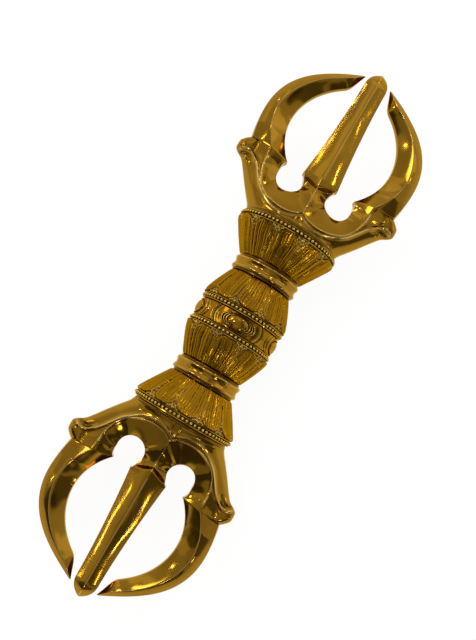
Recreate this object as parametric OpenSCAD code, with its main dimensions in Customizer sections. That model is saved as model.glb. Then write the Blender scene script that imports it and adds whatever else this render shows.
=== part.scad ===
// Three-pronged vajra in brass, lying on its side.
// The long axis is X, the prongs lie in the XY plane and Z points up.
// All sizes are in millimetres and the origin is at the middle of the grip.

/* [Tie rod] */
// Radius of the rod that holds the stack together
rod_r = 3; // [2:0.1:4]
// Depth that the rod reaches into each head
rod_grip = 8; // [5:0.5:9]
// Gap between the rod and each bore, on the radius
rod_clear = 0.05; // [0.02:0.01:0.15]
// Gap left past each end of the rod
rod_end_gap = 0.3; // [0.1:0.1:1]

/* [Grip drum] */
// Length of the drum between the inner bead rings
drum_len = 5.8; // [4.8:0.1:8]
// Radius of the drum at its waist
drum_r = 12.6; // [12:0.05:15]
// Rounding of the drum's two edges
drum_edge = 0.35; // [0.1:0.05:0.8]

/* [Eyes] */
// Width of an eye's bezel around the drum
bezel_w = 11.6; // [9:0.1:13]
// Plain margin between a bezel and the ends of the drum
bezel_margin = 0.35; // [0.2:0.05:0.8]
// Height of the bezel above the drum
bezel_rise = 0.3; // [0.1:0.05:0.6]
// Depth of the pocket that a bezel sits in
bezel_sink = 0.95; // [0.6:0.05:1.5]
// Width of the rim that the bezel leaves above and below the boss
bezel_rim = 0.45; // [0.4:0.05:0.9]
// Width of an eye's boss around the drum
boss_w = 6.8; // [4:0.1:8]
// Height of the boss above the drum
boss_rise = 0.95; // [0.5:0.05:1.4]
// Gap around a set piece in its pocket
set_clear = 0.05; // [0.02:0.01:0.1]

/* [Bead rings] */
// Length of an inner bead ring along the axis
inner_bead_len = 1.8; // [1.4:0.1:2.4]
// Radius to the middle of the inner beads
inner_bead_r = 13.0; // [12:0.1:14]
// Length of an outer bead ring along the axis
outer_bead_len = 1.9; // [1.5:0.1:2.5]
// Radius to the middle of the outer beads
outer_bead_r = 15.7; // [14.5:0.05:17]
// Radius of one bead
bead_r = 0.75; // [0.6:0.05:0.95]
// Pitch from bead to bead
bead_pitch = 1.52; // [1.3:0.02:2]
// Width of the flat ring behind the beads
bead_seat = 2.2; // [1.6:0.1:3]

/* [Lotus cups] */
// Length of an inner cup
inner_cup_len = 10.1; // [8:0.1:13]
// Radius of an inner cup at its rim
inner_rim_r = 13.6; // [12.8:0.1:15]
// Radius of an inner cup beside the ring band
inner_neck_r = 9.3; // [8.2:0.1:10]
// Radius of an outer cup beside the ring band
outer_neck_r = 9.7; // [8.2:0.1:10]
// Length of an outer cup
outer_cup_len = 10.2; // [8:0.1:13]
// Radius of an outer cup at its rim
outer_rim_r = 16.3; // [15:0.1:18]
// Number of petals on an inner cup
inner_petals = 10; // [8:1:16]
// Number of petals on an outer cup
outer_petals = 12; // [8:1:16]
// Radius of the round groove between petals
groove_r = 0.7; // [0.4:0.1:1.2]
// Depth of the groove between petals
groove_d = 0.3; // [0.1:0.05:0.5]
// Gap between a cup's spigot and its bead ring
spigot_clear = 0.05; // [0.02:0.01:0.1]

/* [Ring bands] */
// Length of a double ring band
band_len = 5.0; // [4:0.1:7]
// Outer radius of the two rings
band_r = 10.6; // [10.2:0.05:12]
// Radius of the rounding of each ring
band_roll = 0.8; // [0.5:0.05:0.95]
// Depth of the hollow between the two rings
band_hollow = 0.42; // [0.2:0.02:0.6]

/* [Head base] */
// Length of a head base up to the centre prong's seat
base_len = 19.1; // [17:0.1:22]
// Radius of the round foot of the head base
foot_r = 14.9; // [13.5:0.1:15.4]
// Thickness of the round foot
foot_t = 1.2; // [0.8:0.1:2]
// Half depth of the head base above the foot
base_depth = 10.6; // [9:0.1:12]
// Half depth of the head base at the prongs
top_depth = 6.0; // [5:0.1:7]
// Distance of each round window from the long axis
window_y = 8.42; // [8:0.02:9.4]
// Radius of each round window
window_r = 4.25; // [3.6:0.05:4.6]
// Distance of the window's middle from the centre prong's seat
window_drop = 4.4; // [3:0.05:5]
// Half thickness of the window's edge
window_edge = 1.6; // [1:0.1:2.2]
// Rise of the window's bevel for each millimetre outwards
window_bevel = 1.12; // [0.8:0.02:1.5]
// Radius of the scroll on the outer side
scroll_r = 2.7; // [2.2:0.1:3.2]
// Half depth of the scroll
scroll_depth = 2.9; // [2:0.1:3.6]
// Distance of the scroll's middle from the long axis
scroll_y = 24.95; // [23.5:0.05:26.5]

/* [Centre prong] */
// Length of a centre prong beyond its seat
centre_len = 39; // [30:0.5:48]
// Width of a centre prong at its seat
centre_root_w = 12.0; // [10:0.1:13]
// Width of a centre prong below its point
centre_tip_w = 7.2; // [6:0.1:8]
// Half depth of a centre prong at its seat
centre_root_d = 5.8; // [4.5:0.1:6.5]
// Half depth of a centre prong below its point
centre_tip_d = 3.7; // [3:0.1:4.5]
// Length of the four-sided point
point_len = 5.0; // [4:0.1:8]

/* [Side prongs] */
// Distance of the widest place from the long axis
side_span = 26.25; // [25.5:0.05:30]
// Width of a side prong at its widest place
side_w = 8.95; // [7.5:0.05:9.6]
// Half depth of a side prong at its widest place
side_depth = 4.8; // [4:0.1:5.6]
// Distance from the seat to the widest place
side_belly = 11.5; // [10:0.1:13]
// Length of a side prong beyond the seat
side_len = 36.2; // [34:0.1:42]
// Distance of the tip from the long axis
side_tip_y = 4.75; // [4.5:0.05:6]
// Inner end of the slanted seat, from the long axis
cusp_y = 11.7; // [11.5:0.1:13]
// Outer end of the slanted seat, from the long axis
seat_y = 25.1; // [24.6:0.1:25.4]
// How far the seat's outer end rises above its inner end
seat_rise = 1.5; // [0.8:0.1:2]
// Radius of the tenon on each prong
tenon_r = 2.0; // [1.4:0.1:2.4]
// Length of the tenon on each prong
tenon_len = 5.0; // [3:0.1:6]
// Gap between a tenon and its socket
tenon_clear = 0.05; // [0.02:0.01:0.1]

/* [Hidden] */
$fn = 64;
brass = "#b88a1e";
// How far a cutting shape stands past the surface that it cuts
over = 3;
// How far the inner and outer cups' flanks bulge past a straight line
inner_bulge = 0.75;
outer_bulge = 0.2;
// Step of the round foot's edge, and of the neck above it
foot_step = 0.6;
neck_step = 0.2;
// Handles of the flare from the foot to the scroll: share of the length, distance past the foot
flare_low = [0.29, 3.7];
flare_high = [0.62, 8.5];
// Distance of the scroll's middle and of its root below the prongs' seat
scroll_drop = 1.8;
scroll_root = 0.5;
// Corner of the scroll's rim, inwards and down
scroll_corner = [0.7, 0.9];
// Shape of the slot's neck: shares of the window's drop, distance from the window's edge
slot_low = [0.47, 0.5];
slot_high = [0.73, 1.0];
// Place of the side prong's tenon between the cusp and the outer end of the seat
tenon_at = 0.47;
// Swell of the centre prong towards its root, in width and depth
swell_w = 1.7;
swell_d = 1.4;
// Taper of the centre prong's point: straight part, rounded part and its power
point_taper = [0.05, 0.86, 2.6];
// Centre prong's section: share of the width up to the chamfer, share of the depth left there and at the edge
centre_face = [0.93, 0.33, 0.1];
// Side prong's knee on the inner edge before the tip: back along X, out from the axis, and its place along the prong
knee_back = 7.2;
knee_out = 3.3;
knee_at = 1.72;
// Side prong's section: chamfers as shares of the width, shares of the depth left there and at the edges
side_inner = [0.04, 0.27, 0.09];
side_outer = [0.94, 0.48, 0.14];
// Place of the side prong's ridge between its inner and outer edge, at the seat and past the belly
ridge_at = [0.47, 0.59];
// Power that ties a side prong's depth to its width, and the most it may grow
depth_power = 0.8;
depth_most = 1.12;
x_bead_in = drum_len / 2;
x_cup_in = x_bead_in + inner_bead_len;
x_band = x_cup_in + inner_cup_len;
x_cup_out = x_band + band_len;
x_bead_out = x_cup_out + outer_cup_len;
x_base = x_bead_out + outer_bead_len;
rod_half = x_base + rod_grip;
bore_r = rod_r + rod_clear;
bezel_h = drum_len - 2 * bezel_margin;
boss_h = bezel_h - 2 * bezel_rim;
floor_r = drum_r - bezel_sink;
inner_spigot_r = inner_bead_r - bead_seat;
outer_spigot_r = outer_bead_r - bead_seat;
cusp = [base_len, cusp_y];
seat_out = [base_len + seat_rise, seat_y];
belly = [base_len + side_belly, side_span];
inner_belly = [base_len + side_belly + 1, side_span - side_w];
tip = [base_len + side_len, side_tip_y];
knee = [tip[0] - knee_back, tip[1] + knee_out];
seat_mid = cusp + tenon_at * (seat_out - cusp);
seat_tilt = atan2(seat_rise, seat_y - cusp_y);
window_x = base_len - window_drop;
scroll_x = base_len - scroll_drop;

// Point on a cubic curve
function bez(p, t) =
    pow(1 - t, 3) * p[0] + 3 * pow(1 - t, 2) * t * p[1]
    + 3 * (1 - t) * t * t * p[2] + pow(t, 3) * p[3];

// Points along a cubic curve, from step a to step b of n
function bez_run(p, n, a, b) = [for (i = [a:b]) bez(p, i / n)];

// Points of an oval
function oval(w, h, n = 64) = [for (i = [0:n - 1]) [h / 2 * cos(360 * i / n), w / 2 * sin(360 * i / n)]];

// A profile of [radius, distance along X], turned about the long axis
module turned() {
    rotate([0, 90, 0])
        rotate_extrude($fn = 96)
            children();
}

// A plain bar along X
module bar(x0, x1, r) {
    translate([x0, 0, 0])
        rotate([0, 90, 0])
            cylinder(h = x1 - x0, r = r);
}

// The same piece at the other end of the object
module other_end() {
    mirror([1, 0, 0])
        children();
}

module tie_rod() {
    color(brass)
        bar(-rod_half, rod_half, rod_r);
}

// An upright oval block that stands on the axis
module oval_block(w, h, top) {
    linear_extrude(height = top)
        polygon(oval(w, h));
}

module grip_drum() {
    color(brass)
        difference() {
            turned()
                polygon([
                    [bore_r, -drum_len / 2],
                    [drum_r - drum_edge, -drum_len / 2],
                    [drum_r, -drum_len / 2 + drum_edge],
                    [drum_r, drum_len / 2 - drum_edge],
                    [drum_r - drum_edge, drum_len / 2],
                    [bore_r, drum_len / 2]
                ]);
            for (k = [0:3])
                rotate([90 * k, 0, 0])
                    difference() {
                        oval_block(bezel_w, bezel_h, drum_r + over);
                        bar(-drum_len, drum_len, floor_r);
                    }
        }
}

// The bezel of the eye that faces up
module eye_bezel() {
    color(brass)
        intersection() {
            difference() {
                oval_block(bezel_w - 2 * set_clear, bezel_h - 2 * set_clear, drum_r + over);
                bar(-drum_len, drum_len, floor_r);
                oval_block(boss_w, boss_h, drum_r + 2 * over);
            }
            bar(-drum_len, drum_len, drum_r + bezel_rise);
        }
}

// The boss of the eye that faces up
module eye_boss() {
    color(brass)
        difference() {
            intersection() {
                oval_block(boss_w - 2 * set_clear, boss_h - 2 * set_clear, drum_r + over);
                translate([0, 0, drum_r + boss_rise - boss_w])
                    sphere(r = boss_w);
            }
            bar(-drum_len, drum_len, floor_r);
        }
}

// A flat ring with a row of beads round it
module bead_ring(x0, len, ring_r) {
    count = floor(2 * PI * ring_r / bead_pitch);
    color(brass)
        union() {
            turned()
                polygon([
                    [ring_r - bead_seat + spigot_clear, x0],
                    [ring_r, x0],
                    [ring_r, x0 + len],
                    [ring_r - bead_seat + spigot_clear, x0 + len]
                ]);
            for (k = [0:count - 1])
                rotate([360 * k / count, 0, 0])
                    translate([x0 + len / 2, 0, ring_r])
                        sphere(r = bead_r, $fn = 24);
        }
}

// A cup that narrows from a rim at rim_x to the neck at neck_x
module cup_body(rim_x, rim_r, neck_x, neck_r, bulge, spigot_x, spigot_r) {
    mid = [(rim_r + neck_r) / 2 + bulge, (rim_x + neck_x) / 2];
    flank = [for (i = [0:12]) bez([
        [rim_r, rim_x], [rim_r, rim_x] / 3 + mid * 2 / 3,
        [neck_r, neck_x] / 3 + mid * 2 / 3, [neck_r, neck_x]
    ], i / 12)];
    turned()
        polygon(concat(
            [[bore_r, spigot_x], [spigot_r, spigot_x], [spigot_r, rim_x]],
            flank,
            [[bore_r, neck_x]]
        ));
}

// A round groove between two petals, laid along the middle of a cup's flank
module petal_groove(x0, r0, x1, r1, bulge) {
    lean = atan2(r1 - r0, x1 - x0);
    run = norm([x1 - x0, r1 - r0]);
    translate([x0, 0, r0 + bulge / 2])
        rotate([0, 90 - lean, 0])
            translate([(x1 > x0 ? -1 : 1) * (groove_r - groove_d), 0, 0])
                cylinder(h = run, r = groove_r, $fn = 24);
}

module inner_lotus() {
    color(brass)
        difference() {
            cup_body(x_cup_in, inner_rim_r, x_band, inner_neck_r, inner_bulge, x_bead_in, inner_spigot_r);
            for (k = [0:inner_petals - 1])
                rotate([360 * (k + 0.5) / inner_petals, 0, 0])
                    petal_groove(x_band, inner_neck_r, x_cup_in, inner_rim_r, inner_bulge);
        }
}

module outer_lotus() {
    color(brass)
        difference() {
            cup_body(x_bead_out, outer_rim_r, x_cup_out, outer_neck_r, outer_bulge, x_base, outer_spigot_r);
            for (k = [0:outer_petals - 1])
                rotate([360 * (k + 0.5) / outer_petals, 0, 0])
                    petal_groove(x_cup_out, outer_neck_r, x_bead_out, outer_rim_r, outer_bulge);
        }
}

module ring_band() {
    crest = band_len / 4;
    color(brass)
        difference() {
            turned()
                union() {
                    translate([0, x_band])
                        square([band_r - band_roll, band_len]);
                    translate([0, x_band + crest])
                        square([band_r - band_hollow, 2 * crest]);
                    for (k = [1, 3])
                        translate([band_r - band_roll, x_band + k * crest])
                            circle(r = band_roll, $fn = 32);
                }
            bar(x_band - over, x_cup_out + over, bore_r);
        }
}

// Half of the head base seen along Z, from the long axis outwards
function base_outline() = concat(
    [[0, 0], [0, foot_r - foot_step]],
    bez_run([
        [foot_t, foot_r + neck_step],
        [base_len * flare_low[0], foot_r + flare_low[1]],
        [base_len * flare_high[0], foot_r + flare_high[1]],
        [scroll_x - scroll_r - scroll_root, scroll_y]
    ], 14, 0, 14),
    [[scroll_x, scroll_y], seat_out, cusp, [base_len, centre_root_w / 2 + 0.1], [base_len, 0]]
);

// Half of the slot between the centre prong's neck and the side arm
function slot_outline() = [
    [window_x, window_y - window_r + 0.02],
    [window_x + slot_low[0] * window_drop, window_y - window_r + slot_low[1]],
    [window_x + slot_high[0] * window_drop, window_y - window_r + slot_high[1]],
    [base_len, centre_root_w / 2],
    [base_len + 4, centre_root_w / 2],
    [base_len + 4, cusp_y],
    [base_len, cusp_y],
    [window_x, window_y + window_r - 0.02]
];

// Half of the head base seen along Y
function base_profile() = [
    [0, 0], [0, base_depth + 0.4], [foot_t, base_depth + 0.2],
    [base_len * 0.18, base_depth - 1.2], [base_len * 0.34, base_depth - 2.3],
    [base_len * 0.62, (base_depth + top_depth) / 2 - 1.2],
    [base_len, top_depth], [base_len + 4, top_depth - 0.2], [base_len + 4, 0]
];

// Half of the head base seen along X
function base_section() = [
    [0, 0], [0, base_depth + 0.8], [foot_r * 0.42, base_depth],
    [foot_r * 0.82, base_depth * 0.76], [foot_r * 1.02, base_depth * 0.65],
    [foot_r * 1.36, base_depth * 0.5], [scroll_y, scroll_depth], [scroll_y + 4, scroll_depth], [scroll_y + 4, 0]
];

// A half outline and its mirror image
module both_sides() {
    children();
    mirror([0, 1, 0])
        children();
}

module head_base() {
    color(brass)
        translate([x_base, 0, 0])
            difference() {
                union() {
                    bar(0, foot_t, foot_r);
                    intersection() {
                        both_sides()
                            translate([0, 0, -base_depth - 2])
                                linear_extrude(height = 2 * base_depth + 4)
                                    polygon(base_outline());
                        rotate([90, 0, 0])
                            translate([0, 0, -40])
                                linear_extrude(height = 80)
                                    both_sides()
                                        polygon(base_profile());
                        rotate([90, 0, 90])
                            linear_extrude(height = base_len + 4)
                                section_2d();
                    }
                    both_sides()
                        translate([scroll_x, scroll_y, 0])
                            rotate_extrude($fn = 48)
                                polygon([
                                    [0, -scroll_depth], [scroll_r - scroll_corner[0], -scroll_depth],
                                    [scroll_r, -scroll_depth + scroll_corner[1]],
                                    [scroll_r, scroll_depth - scroll_corner[1]],
                                    [scroll_r - scroll_corner[0], scroll_depth], [0, scroll_depth]
                                ]);
                }
                both_sides()
                    translate([window_x, window_y, 0])
                        window_cut();
                both_sides()
                    translate([0, 0, -base_depth - 3])
                        linear_extrude(height = 2 * base_depth + 6)
                            polygon(slot_outline());
                bar(-1, rod_grip + rod_end_gap, bore_r);
                bar(base_len - tenon_len - rod_end_gap, base_len + 4, tenon_r + tenon_clear);
                both_sides()
                    side_tenon(tenon_r + tenon_clear, tenon_len + rod_end_gap, 4);
            }
}

// The four quarters of the head base's section
module section_2d() {
    for (a = [0, 1])
        for (b = [0, 1])
            mirror([a, 0])
                mirror([0, b])
                    polygon(base_section());
}

// The round window with a bevel on both faces
module window_cut() {
    top = base_depth + 3;
    translate([0, 0, -top])
        cylinder(h = 2 * top, r = window_r, $fn = 64);
    for (b = [0, 1])
        mirror([0, 0, b])
            translate([0, 0, window_edge])
                cylinder(
                    h = top - window_edge,
                    r1 = window_r,
                    r2 = window_r + (top - window_edge) / window_bevel,
                    $fn = 64
                );
}

// A round tenon square to the slanted seat of a side prong
module side_tenon(r, depth, proud) {
    translate([seat_mid[0], seat_mid[1], 0])
        rotate([0, 0, -seat_tilt])
            bar(-depth, proud, r);
}

// Rings of points joined into one closed solid
module skin(rings) {
    n = len(rings[0]);
    m = len(rings);
    points = [for (ring = rings) each ring];
    sides = [for (i = [0:m - 2]) for (j = [0:n - 1]) let (a = i * n + j, b = i * n + (j + 1) % n)
        each [[a, b + n, b], [a, a + n, b + n]]];
    ends = [for (j = [1:n - 2]) each [[0, j, j + 1], [(m - 1) * n, (m - 1) * n + j + 1, (m - 1) * n + j]]];
    polyhedron(points, concat(sides, ends), convexity = 4);
}

// Half width and half depth of the centre prong at a distance from its seat
function centre_half(x) =
    let (shank = centre_len - point_len, t = min(1, x / shank), u = max(0, (x - shank) / point_len))
    let (w = centre_tip_w / 2 + (centre_root_w - centre_tip_w) / 2 * pow(1 - t, swell_w))
    let (d = centre_tip_d + (centre_root_d - centre_tip_d) * pow(1 - t, swell_d))
    let (k = 1 - point_taper[0] * u - point_taper[1] * pow(u, point_taper[2]))
    [w * k, d * k];

function centre_ring(x) =
    let (h = centre_half(x), w = h[0], d = h[1])
    let (f = centre_face[0] * w, g = centre_face[1] * d, e = centre_face[2] * d)
    [for (p = [
        [w, -e], [w, e], [f, g], [0, d], [-f, g],
        [-w, e], [-w, -e], [-f, -g], [0, -d], [f, -g]
    ]) [base_len + x, p[0], p[1]]];

module centre_prong() {
    shank = centre_len - point_len;
    steps = concat(
        [for (i = [0:12]) shank * i / 12],
        [for (i = [1:8]) shank + point_len * sin(90 * i / 8)]
    );
    color(brass)
        translate([x_base, 0, 0])
            union() {
                skin([for (x = steps) centre_ring(x)]);
                bar(base_len - tenon_len, base_len + 1, tenon_r);
            }
}

// Outer edge of a side prong, at u from 0 to 1 up to the belly and on to 2 at the tip
function outer_edge(u) = u <= 1
    ? bez([seat_out, seat_out + [3, 0.65], belly - [3.5, 0], belly], u)
    : bez([
        belly, belly + [0.615 * (tip[0] - belly[0]), 0],
        tip + [-0.16 * (tip[0] - belly[0]), 0.327 * (belly[1] - tip[1])], tip
    ], u - 1);

// Inner edge of a side prong, matched to the outer edge
function inner_edge(u) = u <= 1
    ? bez([cusp, cusp + [3, 3], inner_belly - [5, 0], inner_belly], u)
    : u <= knee_at
        ? bez([inner_belly, inner_belly + [1.84, 0], knee + [-6.63, 9.23], knee], (u - 1) / (knee_at - 1))
        : bez([knee, knee + [1.39, -2.09], tip + [-3.93, 1.23], tip - [0.25, 0.4]], (u - knee_at) / (2 - knee_at));

function side_ring(u) =
    let (a = inner_edge(u), b = outer_edge(u), w = norm(b - a))
    let (d = min(side_depth * depth_most, side_depth * pow(w / side_w, depth_power)))
    let (r = ridge_at[0] + (ridge_at[1] - ridge_at[0]) * min(u, 1))
    [for (p = [
        [1, side_outer[2]], [side_outer[0], side_outer[1]], [r, 1], [side_inner[0], side_inner[1]], [0, side_inner[2]],
        [0, -side_inner[2]], [side_inner[0], -side_inner[1]], [r, -1], [side_outer[0], -side_outer[1]], [1, -side_outer[2]]
    ]) let (q = a + p[0] * (b - a)) [q[0], q[1], p[1] * d]];

module side_prong() {
    steps = concat([for (i = [0:8]) i / 8], [for (i = [1:22]) 1 + i / 22]);
    color(brass)
        translate([x_base, 0, 0])
            union() {
                skin([for (u = steps) side_ring(u)]);
                side_tenon(tenon_r, tenon_len, 1);
            }
}

tie_rod();
grip_drum();
eye_bezel();  // eye_bezel_front
rotate([-90, 0, 0]) eye_bezel();  // eye_bezel_left
rotate([180, 0, 0]) eye_bezel();  // eye_bezel_back
rotate([90, 0, 0]) eye_bezel();  // eye_bezel_right
eye_boss();  // eye_boss_front
rotate([-90, 0, 0]) eye_boss();  // eye_boss_left
rotate([180, 0, 0]) eye_boss();  // eye_boss_back
rotate([90, 0, 0]) eye_boss();  // eye_boss_right
bead_ring(x_bead_in, inner_bead_len, inner_bead_r);  // inner_beads_upper
other_end() bead_ring(x_bead_in, inner_bead_len, inner_bead_r);  // inner_beads_lower
inner_lotus();  // inner_lotus_upper
other_end() inner_lotus();  // inner_lotus_lower
ring_band();  // ring_band_upper
other_end() ring_band();  // ring_band_lower
outer_lotus();  // outer_lotus_upper
other_end() outer_lotus();  // outer_lotus_lower
bead_ring(x_bead_out, outer_bead_len, outer_bead_r);  // outer_beads_upper
other_end() bead_ring(x_bead_out, outer_bead_len, outer_bead_r);  // outer_beads_lower
head_base();  // head_base_upper
other_end() head_base();  // head_base_lower
centre_prong();  // centre_prong_upper
other_end() centre_prong();  // centre_prong_lower
side_prong();  // side_prong_upper_left
mirror([0, 1, 0]) side_prong();  // side_prong_upper_right
other_end() side_prong();  // side_prong_lower_left
rotate([0, 0, 180]) side_prong();  // side_prong_lower_right
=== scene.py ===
"""Dresses the three-pronged brass vajra: chased lotus cups, beaded rims, eyes, heads and prongs."""
import logging
import math
from contextlib import contextmanager
from dataclasses import dataclass
from enum import Enum
from typing import Iterator, Sequence

import bmesh
import bpy
import numpy as np
from mathutils import Matrix, Vector


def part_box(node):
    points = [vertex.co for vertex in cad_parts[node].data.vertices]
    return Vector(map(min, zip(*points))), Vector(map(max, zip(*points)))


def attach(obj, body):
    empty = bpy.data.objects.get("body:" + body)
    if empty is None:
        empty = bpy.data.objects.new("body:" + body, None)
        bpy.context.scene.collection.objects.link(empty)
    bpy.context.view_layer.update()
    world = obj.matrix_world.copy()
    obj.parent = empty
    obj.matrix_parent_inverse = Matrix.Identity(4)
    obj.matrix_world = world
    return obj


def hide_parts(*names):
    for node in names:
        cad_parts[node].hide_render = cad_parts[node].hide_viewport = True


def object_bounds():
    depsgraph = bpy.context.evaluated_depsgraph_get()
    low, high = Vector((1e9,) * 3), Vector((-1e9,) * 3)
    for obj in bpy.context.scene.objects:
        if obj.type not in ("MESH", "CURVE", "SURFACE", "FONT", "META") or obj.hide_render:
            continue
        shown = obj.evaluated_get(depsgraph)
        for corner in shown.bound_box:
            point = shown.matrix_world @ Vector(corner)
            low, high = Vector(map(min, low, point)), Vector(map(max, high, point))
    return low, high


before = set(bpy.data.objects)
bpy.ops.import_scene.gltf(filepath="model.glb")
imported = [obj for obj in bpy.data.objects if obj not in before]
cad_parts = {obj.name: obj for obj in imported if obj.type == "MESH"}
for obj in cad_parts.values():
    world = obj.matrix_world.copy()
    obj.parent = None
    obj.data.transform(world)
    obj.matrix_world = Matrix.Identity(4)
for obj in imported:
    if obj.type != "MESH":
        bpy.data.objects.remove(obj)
CAD_BOX = [list(corner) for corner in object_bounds()]

LOG = logging.getLogger("vajra")
ROOT_BODY = "root"
MM = 0.001
FULL_TURN = 2 * math.pi
# Points that lie closer together than this count as one.
MERGE_MM = 0.002
# The bore for the tie rod, through every turned piece.
BORE_R_MM = 3.05
# A height in metres that counts as none.
FLAT_M = 1e-7
# How close to its plain outline a turned point counts as lying on it.
ON_WALL_MM = 0.02
# How far a prong reaches below its seat.
SEAT_SINK_MM = 0.3
# Rows of points across a chamfer and beside a ridge, as shares of the chamfer and of the face.
EDGE_STEPS = np.array([0.5, 1.0])
RIDGE_STEPS = np.array([0.0, 0.015, 0.03, 0.05, 0.09])
# How much of a face's height a chamfer takes, and how far from a ridge it is rounded, as a share of the face.
CHAMFER_DROP = 0.67
RIDGE_ROUND = 0.03
# How strong the painted highlight along the prongs' ridges is, and how far it reaches to each side.
RIDGE_HIGHLIGHT = 0.5
RIDGE_HIGHLIGHT_MM = 0.16
# The angles in degrees past which an edge stays sharp: on relief, turned pieces, bands and ridges.
RELIEF_CREASE = 60.0
TURNED_CREASE = 50.0
BAND_CREASE = 38.0
RIDGE_CREASE = 30.0
# How far below the solids the floor lies.
FLOOR_GAP_MM = 0.05

Array = np.ndarray
Piece = bpy.types.Object
Socket = bpy.types.NodeSocket
Point2 = tuple[float, float]
Point3 = tuple[float, float, float]
Ring = Sequence[Point3]


class End(Enum):
    """The two ends of the object, by the words in the frame's node names."""

    UPPER = "upper"
    LOWER = "lower"


class Side(Enum):
    """The two sides of a head, by the words in the frame's node names."""

    LEFT = "left"
    RIGHT = "right"


class Quarter(Enum):
    """The four ways that the eyes face, each with its turn about X in degrees."""

    FRONT = ("front", 0.0)
    LEFT = ("left", -90.0)
    BACK = ("back", 180.0)
    RIGHT = ("right", 90.0)

    @property
    def word(self) -> str:
        """The word that the frame's nodes use for this eye."""
        return self.value[0]

    @property
    def turn(self) -> float:
        """The turn about X that brings the front eye here, in radians."""
        return math.radians(self.value[1])


class Slot(Enum):
    """The record's material slots."""

    POLISHED = "polished_brass"
    CHASED = "chased_brass"
    BEADED = "beaded_brass"


def linear(hex_colour: str) -> tuple[float, float, float, float]:
    """Turns an sRGB hex colour into linear values.

    Args:
        hex_colour: Six hex digits after a hash sign.

    Returns:
        Red, green, blue and an alpha of one.
    """
    parts = [int(hex_colour[i:i + 2], 16) / 255 for i in (1, 3, 5)]
    low = [part / 12.92 if part <= 0.04045 else ((part + 0.055) / 1.055) ** 2.4 for part in parts]
    return (low[0], low[1], low[2], 1.0)


class Bench:
    """Adds nodes to one material or world."""

    def __init__(self, owner: bpy.types.Material | bpy.types.World) -> None:
        """Switches the nodes on and clears them.

        Args:
            owner: The material or world that the nodes are for.
        """
        owner.use_nodes = True
        self.tree = owner.node_tree
        self.tree.nodes.clear()

    def add(self, kind: str, links: dict | None = None, **settings) -> bpy.types.Node:
        """Adds a node with its settings and links.

        Args:
            kind: The node's type name, after the words that all of them start with.
            links: Input name or number to an output socket, or to a plain value.
            **settings: Attributes of the node, such as operation.

        Returns:
            The new node.
        """
        node = self.tree.nodes.new("ShaderNode" + kind)
        for name, value in settings.items():
            setattr(node, name, value)
        for key, value in (links or {}).items():
            if isinstance(value, Socket):
                self.tree.links.new(value, node.inputs[key])
            else:
                node.inputs[key].default_value = value
        return node

    def compute(self, operation: str, *values: Socket | float | Point3, kind: str = "Math") -> Socket:
        """Adds a calculation with numbers or vectors."""
        node = self.add(kind, dict(enumerate(values)), operation=operation)
        return node.outputs["Value" if operation == "DOT_PRODUCT" else 0]

    def noise(self, place: Socket, size_mm: float, detail: float, rough: float) -> Socket:
        """Adds a cloudy pattern with clouds of a size in millimetres."""
        return self.add("TexNoise", {
            "Vector": place, "Scale": 1 / MM / size_mm, "Detail": detail, "Roughness": rough,
        }).outputs["Fac"]

    def remap(self, value: Socket, seen: Point2, given: Point2) -> Socket:
        """Stretches one range of values to another and stops at its ends."""
        return self.add("MapRange", {
            "Value": value, "From Min": seen[0], "From Max": seen[1], "To Min": given[0], "To Max": given[1],
        }).outputs["Result"]


@dataclass(frozen=True)
class BrassFinish:
    """Cast yellow brass, polished by hand: a deep golden mirror that ripples a little over the casting."""

    name: str
    metal: str
    tarnish: str
    # The colours of the painted shade in hollows and of the painted highlight on ridges and tops.
    painted_shade_colour: str
    painted_highlight: str
    rim: str
    roughness: float
    roughness_spread: float
    ripple_mm: float
    ripple_height_mm: float
    ripple_along: float
    grain_mm: float
    grain_height_mm: float
    wax: float
    wax_roughness: float = 0.06
    cloud_mm: float = 14.0
    smear_mm: float = 3.2
    hollow_roughness: float = 0.28

    def material(self) -> bpy.types.Material:
        """Makes the node material.

        Returns:
            The material, with its colour, gloss and relief from nodes.
        """
        made = bpy.data.materials.new(self.name)
        bench = Bench(made)
        place = bench.add("TexCoord").outputs["Object"]
        tarnished = bench.remap(bench.noise(place, self.cloud_mm, 3.0, 0.55), (0.42, 0.72), (0.0, 0.65))
        # Painted shade: the hollow attribute darkens hollows and gaps towards a near-black brown and roughens
        # them. Painted highlight: the second attribute lightens ridges and tops to a pale gold.
        hollow = bench.add("Attribute", attribute_name="hollow").outputs["Fac"]
        edge = bench.add("Attribute", attribute_name="painted_highlight").outputs["Fac"]
        colour = linear(self.metal)
        for share, layer in ((tarnished, self.tarnish), (hollow, self.painted_shade_colour), (edge, self.painted_highlight)):
            links = {"Factor": share, "A": colour, "B": linear(layer)}
            colour = bench.add("Mix", links, data_type="RGBA").outputs[2]
        limits = (self.roughness - self.roughness_spread, self.roughness + self.roughness_spread)
        gloss = bench.remap(bench.noise(place, self.smear_mm, 4.0, 0.6), (0.3, 0.75), limits)
        dull = bench.compute("MULTIPLY_ADD", hollow, self.hollow_roughness, gloss)
        drawn = bench.add("Mapping", {"Vector": place, "Scale": (1 / self.ripple_along, 1.0, 1.0)})
        ripple = bench.noise(drawn.outputs["Vector"], self.ripple_mm, 1.0, 0.4)
        grain = bench.noise(place, self.grain_mm, 3.0, 0.6)
        links = {"Height": ripple, "Distance": self.ripple_height_mm * MM, "Strength": 1.0}
        rolling = bench.add("Bump", links).outputs["Normal"]
        links = {"Height": grain, "Distance": self.grain_height_mm * MM, "Strength": 1.0, "Normal": rolling}
        relief = bench.add("Bump", links).outputs["Normal"]
        shader = bench.add("BsdfPrincipled", {
            "Base Color": colour, "Roughness": dull, "Metallic": 1.0, "Normal": relief,
            "Specular Tint": linear(self.rim), "Coat Weight": self.wax, "Coat Roughness": self.wax_roughness,
        })
        bench.add("OutputMaterial", {"Surface": shader.outputs["BSDF"]})
        return made
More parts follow.
